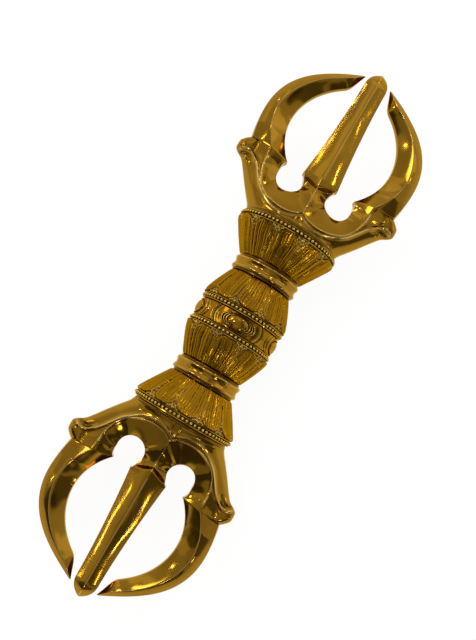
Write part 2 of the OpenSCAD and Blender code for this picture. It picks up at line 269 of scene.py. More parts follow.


# Prongs, heads and ring bands: a deep golden mirror under a trace of wax. Highlights break up over the
# casting's slow ripple; the ridges carry a painted pale highlight line, and the hollows a dark painted shade.
POLISHED_CASTING = BrassFinish(
    name="polished_cast_brass", metal="#9b7115", tarnish="#875e0c", painted_shade_colour="#2e1c06",
    painted_highlight="#dcb96a", rim="#f8dfa2", roughness=0.11, roughness_spread=0.03,
    ripple_mm=9.0, ripple_height_mm=0.4, ripple_along=1.6,
    grain_mm=0.8, grain_height_mm=0.001, wax=0.15,
)
# Lotus cups, drum and bezels: softer, deeper gold, with dark brown painted shade in the chased lines and
# painted highlights on their ridges.
CHASED_CASTING = BrassFinish(
    name="chased_cast_brass", metal="#986b0c", tarnish="#7c5306", painted_shade_colour="#2a1800",
    painted_highlight="#e2bc62", rim="#f0d080", roughness=0.16, roughness_spread=0.05,
    ripple_mm=4.0, ripple_height_mm=0.03, ripple_along=1.5,
    grain_mm=0.6, grain_height_mm=0.005, wax=0.0,
)
# Beaded rims: painted highlights on the bead tops over near-black painted shade in the gaps.
BEADED_CASTING = BrassFinish(
    name="beaded_cast_brass", metal="#a07610", tarnish="#825908", painted_shade_colour="#2a1800",
    painted_highlight="#e8c46a", rim="#f0d080", roughness=0.12, roughness_spread=0.04,
    ripple_mm=3.0, ripple_height_mm=0.02, ripple_along=1.0,
    grain_mm=0.5, grain_height_mm=0.004, wax=0.0,
)


class Finishes:
    """Makes each slot's material once."""

    def __init__(self) -> None:
        """Makes the three brass materials."""
        self.by_slot = {
            Slot.POLISHED: POLISHED_CASTING.material(),
            Slot.CHASED: CHASED_CASTING.material(),
            Slot.BEADED: BEADED_CASTING.material(),
        }


def smooth(low: float, high: float, value: Array) -> Array:
    """Eases from zero at low to one at high."""
    t = np.clip((value - low) / (high - low), 0.0, 1.0)
    return t * t * (3 - 2 * t)


def hump(gap: Array, half: float) -> Array:
    """Rises to one where a gap is zero and falls off to both sides."""
    return np.exp(-(gap / half) ** 2)


def chamfered(out: Array, share: float) -> Array:
    """Lowers the last share of a face to a third, as a steep chamfer; out is one at the face's edge."""
    return 1 - CHAMFER_DROP * np.clip((out - 1 + share) / share, 0, 1)


def soft_ridge(out: Array, size: float) -> Array:
    """Takes the sharpness off a ridge; out is the distance from it, as a share of the face."""
    close = RIDGE_ROUND * size
    return np.sqrt(out ** 2 + close ** 2) - close


def curve(points: Sequence[Point2], t: float) -> Array:
    """Finds a point on a cubic curve.

    Args:
        points: The curve's four control points.
        t: The place along it, from zero to one.

    Returns:
        The point.
    """
    a, b, c, d = (np.asarray(p, float) for p in points)
    s = 1 - t
    return s ** 3 * a + 3 * s * s * t * b + 3 * s * t * t * c + t ** 3 * d


def spline(points: Sequence[Point2], count: int) -> Array:
    """Runs a smooth line through points.

    Args:
        points: The points that the line passes through.
        count: How many places to take between one point and the next.

    Returns:
        The places along the line, one row each.
    """
    p = np.asarray(points, float)
    ends = np.vstack([2 * p[0] - p[1], p, 2 * p[-1] - p[-2]])
    rows = []
    for a, b, c, d in zip(ends[:-3], ends[1:-2], ends[2:-1], ends[3:]):
        for t in np.arange(count) / count:
            rows.append(0.5 * (2 * b + (c - a) * t + (2 * a - 5 * b + 4 * c - d) * t * t
                               + (3 * b - a - 3 * c + d) * t ** 3))
    rows.append(p[-1])
    return np.array(rows)


def nearest(x: Array, y: Array, line: Array) -> tuple[Array, Array]:
    """Measures how far points lie from a line.

    Args:
        x: Places along the axis.
        y: Places across.
        line: The line's points along X and across, and in height where it has that.

    Returns:
        The distance, and the line's height at the nearest place.
    """
    best = np.full(x.shape, np.inf)
    tall = np.zeros(x.shape)
    for a, b in zip(line[:-1], line[1:]):
        d = b - a
        t = np.clip(((x - a[0]) * d[0] + (y - a[1]) * d[1]) / (d[0] ** 2 + d[1] ** 2), 0, 1)
        gap = np.hypot(x - a[0] - t * d[0], y - a[1] - t * d[1])
        if len(a) > 2:
            tall = np.where(gap < best, a[2] + t * d[2], tall)
        best = np.minimum(best, gap)
    return best, tall


def within(x: Array, y: Array, fence: Array) -> Array:
    """Tests whether points lie inside a closed outline.

    Args:
        x: Places along the axis.
        y: Places across.
        fence: The outline's points along X and across.

    Returns:
        True for each point inside.
    """
    inside = np.zeros(x.shape, bool)
    for a, b in zip(fence, np.roll(fence, -1, axis=0)):
        crosses = (a[1] > y) != (b[1] > y)
        with np.errstate(divide="ignore", invalid="ignore"):
            at = a[0] + (y - a[1]) * (b[0] - a[0]) / (b[1] - a[1])
        inside ^= crosses & (x < at)
    return inside


def read_points(piece: Piece) -> Array:
    """Reads a mesh's points in millimetres.

    Args:
        piece: The mesh object.

    Returns:
        One row of X, Y and Z for each point.
    """
    flat = np.empty(len(piece.data.vertices) * 3)
    piece.data.vertices.foreach_get("co", flat)
    return flat.reshape(-1, 3) / MM


def write_points(piece: Piece, points: Array) -> None:
    """Moves a mesh's points to places in millimetres."""
    piece.data.vertices.foreach_set("co", (points * MM).ravel())
    piece.data.update()


def write_painted_light(piece: Piece, hollow: Array | None = None, painted_highlight: Array | None = None) -> None:
    """Stores painted shade for hollows and gaps, and painted highlights for ridges and tops, one value for
    each point.

    Args:
        piece: The mesh object.
        hollow: How much painted shade each point gets, from zero on the high parts to one in the hollows, one
            for each point.
        painted_highlight: How much painted highlight each point gets, from zero to one on the brightest
            edges, one for each point.
    """
    for name, values in (("hollow", hollow), ("painted_highlight", painted_highlight)):
        if values is not None:
            layer = piece.data.attributes.get(name) or piece.data.attributes.new(name, "FLOAT", "POINT")
            layer.data.foreach_set("value", np.clip(values, 0, 1).astype(np.float32))


def start_circle(points: int) -> Piece:
    """Adds a bare circle and nothing else selected.

    Args:
        points: How many points it has.

    Returns:
        The new object.
    """
    bpy.ops.object.select_all(action="DESELECT")
    bpy.ops.mesh.primitive_circle_add(vertices=points, radius=MM, fill_type="NOTHING")
    return bpy.context.object


@contextmanager
def editing(edges: bool = False) -> Iterator[None]:
    """Opens the active mesh for editing and closes it again.

    Args:
        edges: Whether edges are picked, from none at the start. Otherwise all points are selected.

    Yields:
        Nothing, once the mesh is open.
    """
    bpy.ops.object.mode_set(mode="EDIT")
    bpy.ops.mesh.select_mode(type="EDGE" if edges else "VERT")
    bpy.ops.mesh.select_all(action="DESELECT" if edges else "SELECT")
    yield
    bpy.ops.mesh.select_mode(type="VERT")
    bpy.ops.object.mode_set(mode="OBJECT")


def close_up() -> None:
    """Merges the active mesh's doubled points and turns all its faces outwards."""
    with editing():
        bpy.ops.mesh.remove_doubles(threshold=MERGE_MM * MM)
        bpy.ops.mesh.normals_make_consistent(inside=False)


def turn(outline: Sequence[Point2], steps: int) -> Piece:
    """Spins a closed outline about the long axis, as on a lathe.

    Args:
        outline: Distance along X and radius of each point, in millimetres.
        steps: How many steps make the full turn.

    Returns:
        The turned piece.
    """
    piece = start_circle(len(outline))
    write_points(piece, np.array([(x, 0.0, r) for x, r in outline]))
    with editing():
        bpy.ops.mesh.spin(steps=steps, angle=FULL_TURN, center=(0, 0, 0), axis=(1, 0, 0))
    close_up()
    return piece


def loft(rings: Sequence[Ring], hollow_middle: bool = False) -> Piece:
    """Extrudes a ring of points from one place to the next and closes the ends.

    Args:
        rings: Each place's points in millimetres, the same number in each.
        hollow_middle: Whether the last ring joins the first, as round a frame, in place of two end faces.

    Returns:
        The lofted piece.
    """
    piece = start_circle(len(rings[0]))
    write_points(piece, np.array(rings[0]))
    with editing():
        if not hollow_middle:
            bpy.ops.mesh.edge_face_add()
        marks = list(range(len(rings[0])))
        for ring in rings[1:]:
            bpy.ops.mesh.extrude_region_move()
            shell = bmesh.from_edit_mesh(piece.data)
            shell.verts.ensure_lookup_table()
            fresh = []
            for vert in (shell.verts[mark] for mark in marks):
                fresh.append(next(e.other_vert(vert) for e in vert.link_edges if e.other_vert(vert).select))
            for vert, point in zip(fresh, ring):
                vert.co = Vector(point) * MM
            marks = [vert.index for vert in fresh]
            bmesh.update_edit_mesh(piece.data)
    if hollow_middle:
        with editing(edges=True):
            bpy.ops.mesh.select_non_manifold()
            bpy.ops.mesh.bridge_edge_loops()
    close_up()
    return piece


def copied(piece: Piece, change: Matrix) -> Piece:
    """Copies a piece with a mesh of its own.

    Args:
        piece: The piece to copy.
        change: The turn or mirror that the copy gets in its mesh.

    Returns:
        The copy.
    """
    twin = piece.copy()
    twin.data = piece.data.copy()
    bpy.context.scene.collection.objects.link(twin)
    twin.data.transform(change)
    if change.determinant() < 0:
        twin.data.flip_normals()
    return twin


def joined(pieces: Sequence[Piece]) -> Piece:
    """Joins meshes into the first one.

    Args:
        pieces: The mesh objects.

    Returns:
        The first object, which then holds them all.
    """
    bpy.ops.object.select_all(action="DESELECT")
    for piece in pieces:
        piece.select_set(True)
    bpy.context.view_layer.objects.active = pieces[0]
    bpy.ops.object.join()
    return pieces[0]


def hand_over(piece: Piece, node: str, slot: Slot, finishes: Finishes, crease: float) -> None:
    """Names, shades and dresses a finished piece and puts it in its node's place.

    Args:
        piece: The finished mesh object.
        node: The frame's node that it stands for.
        slot: The material slot that it takes its finish from.
        finishes: The materials.
        crease: The angle in degrees past which an edge stays sharp.
    """
    piece.name = "dressed_" + node
    piece.data.name = piece.name
    piece.data.materials.clear()
    piece.data.materials.append(finishes.by_slot[slot])
    bpy.ops.object.select_all(action="DESELECT")
    piece.select_set(True)
    bpy.context.view_layer.objects.active = piece
    bpy.ops.object.shade_smooth_by_angle(angle=math.radians(crease))
    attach(piece, ROOT_BODY)
    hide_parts(node)
    LOG.info("%s: %d faces", piece.name, len(piece.data.polygons))


def raise_wall(piece: Piece, points: Array, outside: Array, height: Array) -> None:
    """Moves the outer points of a turned piece away from the axis.

    Args:
        piece: The turned piece.
        points: Its points in millimetres.
        outside: True for each point that moves.
        height: How far each of them moves.
    """
    radius = np.hypot(points[:, 1], points[:, 2])
    grow = np.where(outside, (radius + height) / np.maximum(radius, 1e-6), 1.0)
    points[:, 1:] *= grow[:, None]
    write_points(piece, points)


def hand_over_ends(piece: Piece, node: str, slot: Slot, finishes: Finishes, crease: float) -> None:
    """Copies a piece to the lower end and hands both over."""
    for end, made in both_ends(piece).items():
        hand_over(made, f"{node}_{end.value}", slot, finishes, crease)


def both_ends(piece: Piece) -> dict[End, Piece]:
    """Makes the lower end's copy of an upper piece and gives both."""
    return {End.UPPER: piece, End.LOWER: copied(piece, Matrix.Scale(-1, 4, (1, 0, 0)))}


@dataclass(frozen=True)
class Stack:
    """Where the pieces of the grip lie along the axis, in millimetres, read from the frame."""

    drum_end: float
    inner_rim: float
    band_start: float
    band_end: float
    outer_rim: float
    foot: float

    @classmethod
    def from_frame(cls) -> "Stack":
        """Reads the upper end's nodes.

        Returns:
            The distances from the middle.
        """
        beads_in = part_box("inner_beads_upper")
        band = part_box("ring_band_upper")
        beads_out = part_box("outer_beads_upper")
        return cls(
            drum_end=beads_in[0].x / MM, inner_rim=beads_in[1].x / MM,
            band_start=band[0].x / MM, band_end=band[1].x / MM,
            outer_rim=beads_out[0].x / MM, foot=beads_out[1].x / MM,
        )


# Grains between two petal tips: distance from the seam and from the rim, in millimetres.
GRANULES = ((0.0, -2.3), (0.0, -1.5), (0.6, -1.2), (0.3, -0.65), (1.0, -0.6), (1.6, -0.35), (0.0, -0.3))


@dataclass
class LotusCup:
    """A cup of chased lotus petals that narrows from its rim to the ring band."""

    node: str
    rim_x: float
    rim_r: float
    neck_x: float
    neck_r: float
    bulge: float
    petals: int
    crown: float = 0.3
    layer: float = 0.14
    tilt: float = 0.09
    overlap: float = 0.05
    seam: float = 0.22
    seam_depth: float = 0.22
    edge_ridge: float = 0.13
    edge_ridge_in: float = 0.3
    edge_ridge_w: float = 0.17
    petal_edge: Point2 = (-0.12, 0.14)
    flutes: int = 9
    flute_height: float = 0.15
    flute_edge: Point2 = (0.45, 0.85)
    flute_end: float = 0.86
    flute_wander: float = 0.06
    tip_start: float = 0.70
    tip_end: float = 0.985
    tip_round: float = 0.985
    granule_w: float = 0.22
    granule_l: float = 0.24
    granule_height: float = 0.42
    # Painted shade in the seams and flutes, and painted highlights on the flutes' ridges, the grains and the
    # petal edges.
    seam_painted_shade: float = 0.8
    flute_painted_shade: float = 0.35
    flute_highlight: float = 0.08
    granule_highlight: float = 0.8
    edge_highlight: float = 0.2
    rows: int = 64
    steps: int = 720

    def flank(self, share: Array) -> tuple[Array, Array]:
        """Finds the cup's plain outline.

        Args:
            share: From zero at the neck to one at the rim.

        Returns:
            The distance along X and the radius there.
        """
        x = self.neck_x + (self.rim_x - self.neck_x) * share
        r = self.neck_r + (self.rim_r - self.neck_r) * share + 4 * self.bulge * share * (1 - share)
        return x, r

    def relief(self, share: Array, angle: Array, radius: Array) -> tuple[Array, ...]:
        """Works out the petals' relief.

        Args:
            share: From zero at the neck to one at the rim.
            angle: The angle about the axis, from the middle of the front petal.
            radius: The plain radius there.

        Returns:
            The height to add to the radius, the painted shade in the hollows and the painted highlight on the
            ridges.
        """
        # The sines below only make each petal a little different from the next.
        half = math.pi / self.petals
        number = np.floor((angle + half) / (2 * half))
        across = ((angle + half) % (2 * half) - half) / half
        over = np.where(number % 2 == 0, 1.0, -1.0)
        tip = np.clip((share - self.tip_start) / (self.tip_end - self.tip_start), 0, 1)
        width = np.sqrt(1 - tip ** 2.0) * (1 + self.overlap * over)
        inside = (width - np.abs(across)) * half * radius - self.seam / 2
        length = abs(self.rim_x - self.neck_x)
        on_petal = smooth(*self.petal_edge, inside) * smooth(1.0, self.tip_round, share / self.tip_end)
        fit = np.minimum(np.abs(across) / np.maximum(width, 0.05), 1)
        turned = self.tilt * np.sin(2.4 * number + 0.7) * across * half * radius
        body = self.crown * (1 - fit ** 2) + self.layer * over * share + turned * smooth(0.05, 0.4, share)
        ridge = self.edge_ridge * hump(inside - self.edge_ridge_in, self.edge_ridge_w)
        ridge *= smooth(0.1, 0.6, share)
        wander = np.sin(5.0 * share + 1.9 * number) + 0.5 * np.sin(13.0 * share + 2.7 * number)
        fan = across / np.maximum(0.45 + 0.55 * width, 0.1)
        spread = (fan + self.flute_wander * wander * (1 - np.abs(across))) * self.flutes
        strength = 0.75 + 0.35 * np.sin(2.1 * np.floor(spread / 2 + 0.5) + 1.3 * number)
        lines = 1 - 2 * np.abs(np.sin(0.5 * math.pi * spread)) ** 0.8
        flute_mask = smooth(*self.flute_edge, inside) * smooth(1.0, self.flute_end, share) * strength
        along = (share - 1) * length
        from_seam = (1 - np.abs(across)) * half * radius
        dots = np.zeros_like(share)
        for aside, below in GRANULES:
            dots += hump(from_seam - aside, self.granule_w) * hump(along - below, self.granule_l)
        dots = np.clip(dots, 0, 1)
        height = on_petal * (self.seam_depth + body + ridge)
        height -= self.flute_height * lines * flute_mask * on_petal
        height += self.granule_height * dots * (1 - on_petal) - self.seam_depth
        # Painted shade in the seams between petals and in the flutes' valleys; painted highlights on the
        # flutes' ridges, the grains and the ridges along the petal edges.
        hollow = (1 - on_petal) * (1 - dots) * smooth(0.6, 0.9, share) * self.seam_painted_shade
        hollow += on_petal * flute_mask * self.flute_painted_shade * np.clip(lines, 0, 1)
        fade = smooth(0.0, 0.05, share)
        painted_highlight = self.flute_highlight * on_petal * flute_mask * np.clip(-lines, 0, 1) ** 2
        painted_highlight += self.granule_highlight * dots * (1 - on_petal)
        painted_highlight += self.edge_highlight * on_petal * ridge / self.edge_ridge
        return height * fade, hollow, painted_highlight * fade

    def build(self) -> Piece:
        """Turns the cup and chases its petals.

        Returns:
            The finished upper cup.
        """
        share = np.linspace(0, 1, self.rows)
        x, r = self.flank(share)
        outline = [(float(a), float(b)) for a, b in zip(x, r)]
        outline += [(self.rim_x, BORE_R_MM), (self.neck_x, BORE_R_MM)]
        piece = turn(outline, self.steps)
        points = read_points(piece)
        radius = np.hypot(points[:, 1], points[:, 2])
        angle = np.arctan2(points[:, 1], points[:, 2])
        place = (points[:, 0] - self.neck_x) / (self.rim_x - self.neck_x)
        plain = self.flank(place)[1]
        outside = np.abs(radius - plain) < ON_WALL_MM
        height, hollow, painted_highlight = self.relief(place, angle, plain)
        raise_wall(piece, points, outside, height)
        write_painted_light(piece, np.where(outside, hollow, 0.0), np.where(outside, painted_highlight, 0.0))
        return piece


@dataclass
class BeadRing:
    """A flat ring between two fine lips with a row of round beads."""

    node: str
    start: float
    end: float
    ring_r: float
    inner_r: float
    bead_r: float = 0.54
    bead_tall: float = 1.08
    pitch: float = 1.3
    lip: float = 0.3
    channel: float = 0.2
    edge: float = 0.1
    steps: int = 180

    def build(self) -> Piece:
        """Turns the ring and sets the beads round it.

        Returns:
            The finished upper ring.
        """
        low = self.ring_r - self.channel
        top = self.ring_r + self.edge
        ring = turn([
            (self.start, self.inner_r), (self.start, self.ring_r), (self.start + 0.08, top),
            (self.start + self.lip, self.ring_r + 0.05), (self.start + self.lip + self.edge, low),
            (self.end - self.lip - self.edge, low), (self.end - self.lip, self.ring_r + 0.05),
            (self.end - 0.08, top), (self.end, self.ring_r), (self.end, self.inner_r),
        ], self.steps)
        radius = np.hypot(*read_points(ring)[:, 1:].T)
        # Painted shade on the floor of the channel under the beads, and a faint painted highlight on the
        # lips' tops.
        write_painted_light(ring, 0.8 * smooth(self.ring_r, low, radius), 0.2 * smooth(self.ring_r, top, radius))
        count = int(FULL_TURN * self.ring_r / self.pitch)
        bpy.ops.object.select_all(action="DESELECT")
        middle = (self.start + self.end) / 2
        bpy.ops.mesh.primitive_ico_sphere_add(subdivisions=2, radius=self.bead_r * MM)
        bead = bpy.context.object
        with editing():
            bpy.ops.transform.resize(value=(1.0, 1.0, self.bead_tall))
            bpy.ops.transform.translate(value=(middle * MM, 0, self.ring_r * MM))
        depth = np.hypot(*read_points(bead)[:, 1:].T)
        # Painted shade on the beads' lower sides, and painted highlights on their tops.
        write_painted_light(bead, 0.8 * smooth(top, low, depth),
                   0.75 * smooth(self.ring_r + 0.25, self.ring_r + 0.55, depth))
        with editing():
            bpy.ops.mesh.spin(
                steps=count - 1, angle=FULL_TURN * (count - 1) / count, dupli=True,
                center=(0, 0, 0), axis=(1, 0, 0),
            )
        return joined([ring, bead])


@dataclass
class RingBand:
    """Two narrow round crests with a shallow hollow between them."""

    node: str
    start: float
    end: float
    outer_r: float
    roll: float = 0.8
    hollow: float = 0.42
    steps: int = 240

    def build(self) -> Piece:
        """Turns the band.

        Returns:
            The finished upper band.
        """
        crest = (self.end - self.start) / 4
        core = self.outer_r - self.roll
        outline: list[Point2] = [(self.start, BORE_R_MM), (self.start, core)]
        first, last = self.start + crest, self.end - crest
        for degrees in range(-90, 1, 10):
            lean = math.radians(degrees)
            outline.append((first + self.roll * math.sin(lean), core + self.roll * math.cos(lean)))
        for share in np.linspace(0, 1, 17)[1:-1]:
            dip = self.hollow * math.sin(math.pi * share) ** 1.2
            outline.append((first + (last - first) * float(share), self.outer_r - dip))
        for degrees in range(0, 91, 10):
            lean = math.radians(degrees)
            outline.append((last + self.roll * math.sin(lean), core + self.roll * math.cos(lean)))
        outline += [(self.end, core), (self.end, BORE_R_MM)]
        piece = turn(outline, self.steps)
        radius = np.hypot(*read_points(piece)[:, 1:].T)
        # Painted shade towards the band's ends where it meets the cups, and a painted highlight on the
        # crests' tops.
        write_painted_light(piece, 0.8 * smooth(core + 0.35, core - 0.1, radius),
                   0.35 * smooth(self.outer_r - 0.05, self.outer_r, radius))
        return piece


@dataclass
class Grip:
    """The middle drum with its four eyes."""

    drum_end: float
    drum_r: float = 12.6
    drum_edge: float = 0.35
    floor_r: float = 11.65
    boss_w: float = 6.8
    boss_h: float = 4.2
    boss_rise: float = 0.95
    boss_lift: float = 0.05
    boss_gap: float = 0.1
    bezel_w: float = 11.5
    bezel_h: float = 5.1
    bezel_lift: float = 0.06
    rings: int = 3
    ring_height: float = 0.45
    arc_reach: float = 8.9
    arc_tall: float = 5.0
    arc_w: float = 0.36
    arc_height: float = 0.42
    arc_fade: float = 0.4
    second_arc: float = 0.83
    second_height: float = 0.8
    # Painted shade between the bowed bars and at the drum's ends, and painted highlights on the bars.
    arc_painted_shade: float = 0.6
    lip_painted_shade: float = 0.7
    arc_highlight: float = 0.5
    rows: int = 41
    steps: int = 480

    def drum(self) -> Piece:
        """Turns the drum and chases the bowed bars between the eyes.

        Returns:
            The finished drum.
        """
        rows = np.linspace(-self.drum_end, self.drum_end, self.rows)
        edge = self.drum_end - np.abs(rows)
        wall = self.drum_r - self.drum_edge * np.clip(1 - edge / self.drum_edge, 0, 1) ** 2
        outline = [(float(x), float(r)) for x, r in zip(rows, wall)]
        outline += [(self.drum_end, BORE_R_MM), (-self.drum_end, BORE_R_MM)]
        piece = turn(outline, self.steps)
        points = read_points(piece)
        radius = np.hypot(points[:, 1], points[:, 2])
        quarter = math.pi / 2
        angle = np.arctan2(points[:, 1], points[:, 2])
        from_eye = np.abs((angle + quarter / 2) % quarter - quarter / 2) * self.drum_r
        outside = radius > self.drum_r - 0.5
        bow = self.arc_reach * np.sqrt(1 - (points[:, 0] / self.arc_tall) ** 2)
        arcs = hump(from_eye - bow, self.arc_w)
        second = hump(from_eye - self.second_arc * bow, self.arc_w)
        inner = smooth(self.drum_end, self.drum_end - self.arc_fade, np.abs(points[:, 0]))
        height = self.arc_height * (arcs + self.second_height * second) * inner
        raise_wall(piece, points, outside, height)
        # Painted shade between the two bars and at the drum's ends beside the beaded rims; painted highlights
        # on the bars' tops.
        between = (1 + self.second_arc) / 2 * bow
        beside = hump(np.abs(from_eye - between) - 0.1, 0.45) * (1 - arcs) * (1 - second)
        lip = smooth(self.drum_end - 0.5, self.drum_end, np.abs(points[:, 0]))
        painted_shade = np.maximum(self.arc_painted_shade * beside, self.lip_painted_shade * lip)
        highlight = self.arc_highlight * (arcs + second) ** 2 * inner
        write_painted_light(piece, np.where(outside, painted_shade, 0), np.where(outside, highlight, 0))
        return piece

    def oval(self, width: float, height: float, radius: float, count: int = 96) -> Ring:
        """Lays an oval on a round surface about the axis.

        Args:
            width: The oval's width around the drum.
            height: The oval's height along the axis.
            radius: The radius of the surface.
            count: How many points it has.

        Returns:
            The oval's points on the side that faces up.
        """
        ring = []
        for k in range(count):
            lean = FULL_TURN * k / count
            y = width / 2 * math.sin(lean)
            ring.append((height / 2 * math.cos(lean), y, math.sqrt(radius ** 2 - y ** 2)))
        return ring

    def bezel(self) -> Piece:
        """Lofts the oval frame with its raised lines.

        Returns:
            The bezel of the eye that faces up.
        """
        rings = [self.oval(self.boss_w, self.boss_h, self.floor_r)]
        # Painted shade: full at both edges, where the frame meets the drum, and in the grooves between the
        # raised lines. Painted highlight: on the lines' tops.
        depth, ring_highlight = [1.0], [0.0]
        for share in np.linspace(0, 1, 37):
            lift = abs(math.sin(math.pi * self.rings * share)) ** 0.8
            ring_highlight.append(0.6 * float(smooth(0.8, 1.0, np.array(lift))))
            top = self.drum_r + self.bezel_lift + self.ring_height * lift
            rings.append(self.oval(
                self.boss_w + (self.bezel_w - self.boss_w) * share,
                self.boss_h + (self.bezel_h - self.boss_h) * share, top,
            ))
            depth.append(0.6 * (1 - lift) ** 2)
        rings.append(self.oval(self.bezel_w, self.bezel_h, self.floor_r))
        depth.append(1.0)
        ring_highlight.append(0.0)
        piece = loft(rings, hollow_middle=True)
        write_painted_light(piece, np.repeat(depth, len(rings[0])), np.repeat(ring_highlight, len(rings[0])))
        return piece

    def boss(self) -> Piece:
        """Lofts the domed oval boss.

        Returns:
            The boss of the eye that faces up.
        """
        wall = self.drum_r + self.boss_lift
        width, tall = self.boss_w - self.boss_gap, self.boss_h - self.boss_gap
        rings = [self.oval(width, tall, self.floor_r)]
        for share in np.linspace(0, 0.995, 22):
            lean = share * math.pi / 2
            size = math.cos(lean) ** 0.9
            top = wall + (self.boss_rise - self.boss_lift) * math.sin(lean)
            rings.append(self.oval(width * size, tall * size, top))
        return loft(rings)


@dataclass
class CentreProng:
    """A straight prong with a ridge on each face and a four-sided point."""

    seat: float
    length: float
    root_w: float = 12.0
    tip_w: float = 7.3
    root_d: float = 5.8
    tip_d: float = 3.7
    point: float = 5.2
    point_lean: float = 0.05
    point_drop: float = 0.86
    point_curve: float = 2.6
    wave: float = 0.018
    wave_mm: float = 21.0
    lean: float = 0.54
    bow: float = 0.12
    chamfer: float = 0.025
    stations: int = 90

    def half(self, x: float) -> tuple[float, float]:
        """Finds the half width and half depth.

        Args:
            x: The distance from the seat.

        Returns:
            The half width and the half depth there.
        """
        shank = self.length - self.point
        left = 1 - min(1.0, x / shank)
        past = max(0.0, (x - shank) / self.point)
        width = self.tip_w / 2 + (self.root_w - self.tip_w) / 2 * left ** 1.7
        depth = self.tip_d + (self.root_d - self.tip_d) * left ** 1.4
        taper = 1 - self.point_lean * past - self.point_drop * past ** self.point_curve
        depth *= 1 + self.wave * math.sin(FULL_TURN * x / self.wave_mm)
        return width * taper, depth * taper

    def rise(self, share: Array) -> Array:
        """Finds how high a face stands: bowed a little from the ridge down to a chamfered edge."""
        out = soft_ridge(np.abs(share), 1.0)
        return (1 - self.lean * out - self.bow * out ** 2) * chamfered(np.abs(share), self.chamfer)

    def build(self) -> Piece:
        """Lofts the prong.

        Returns:
            The finished upper centre prong.
        """
        shank = self.length - self.point
        point = shank + self.point * np.sin(np.linspace(0, 1, 31)[1:] * math.pi / 2)
        places = np.concatenate([np.linspace(-SEAT_SINK_MM, shank, self.stations), point]).tolist()
        flat = 1 - self.chamfer
        edge = flat + self.chamfer * EDGE_STEPS
        half = np.concatenate([RIDGE_STEPS, np.linspace(0.15, flat, 10), edge])
        share = np.concatenate([-half[:0:-1], half])
        across = np.concatenate([share, share[::-1]])
        up = np.concatenate([self.rise(share), -self.rise(share)])
        rings = []
        for x in places:
            w, d = self.half(max(x, 0.0))
            rings.append([(self.seat + x, float(y) * w, float(z) * d) for y, z in zip(across, up)])
        piece = loft(rings)
        # A painted highlight along the ridge.
        write_painted_light(piece, painted_highlight=RIDGE_HIGHLIGHT * hump(read_points(piece)[:, 1], RIDGE_HIGHLIGHT_MM))
        return piece


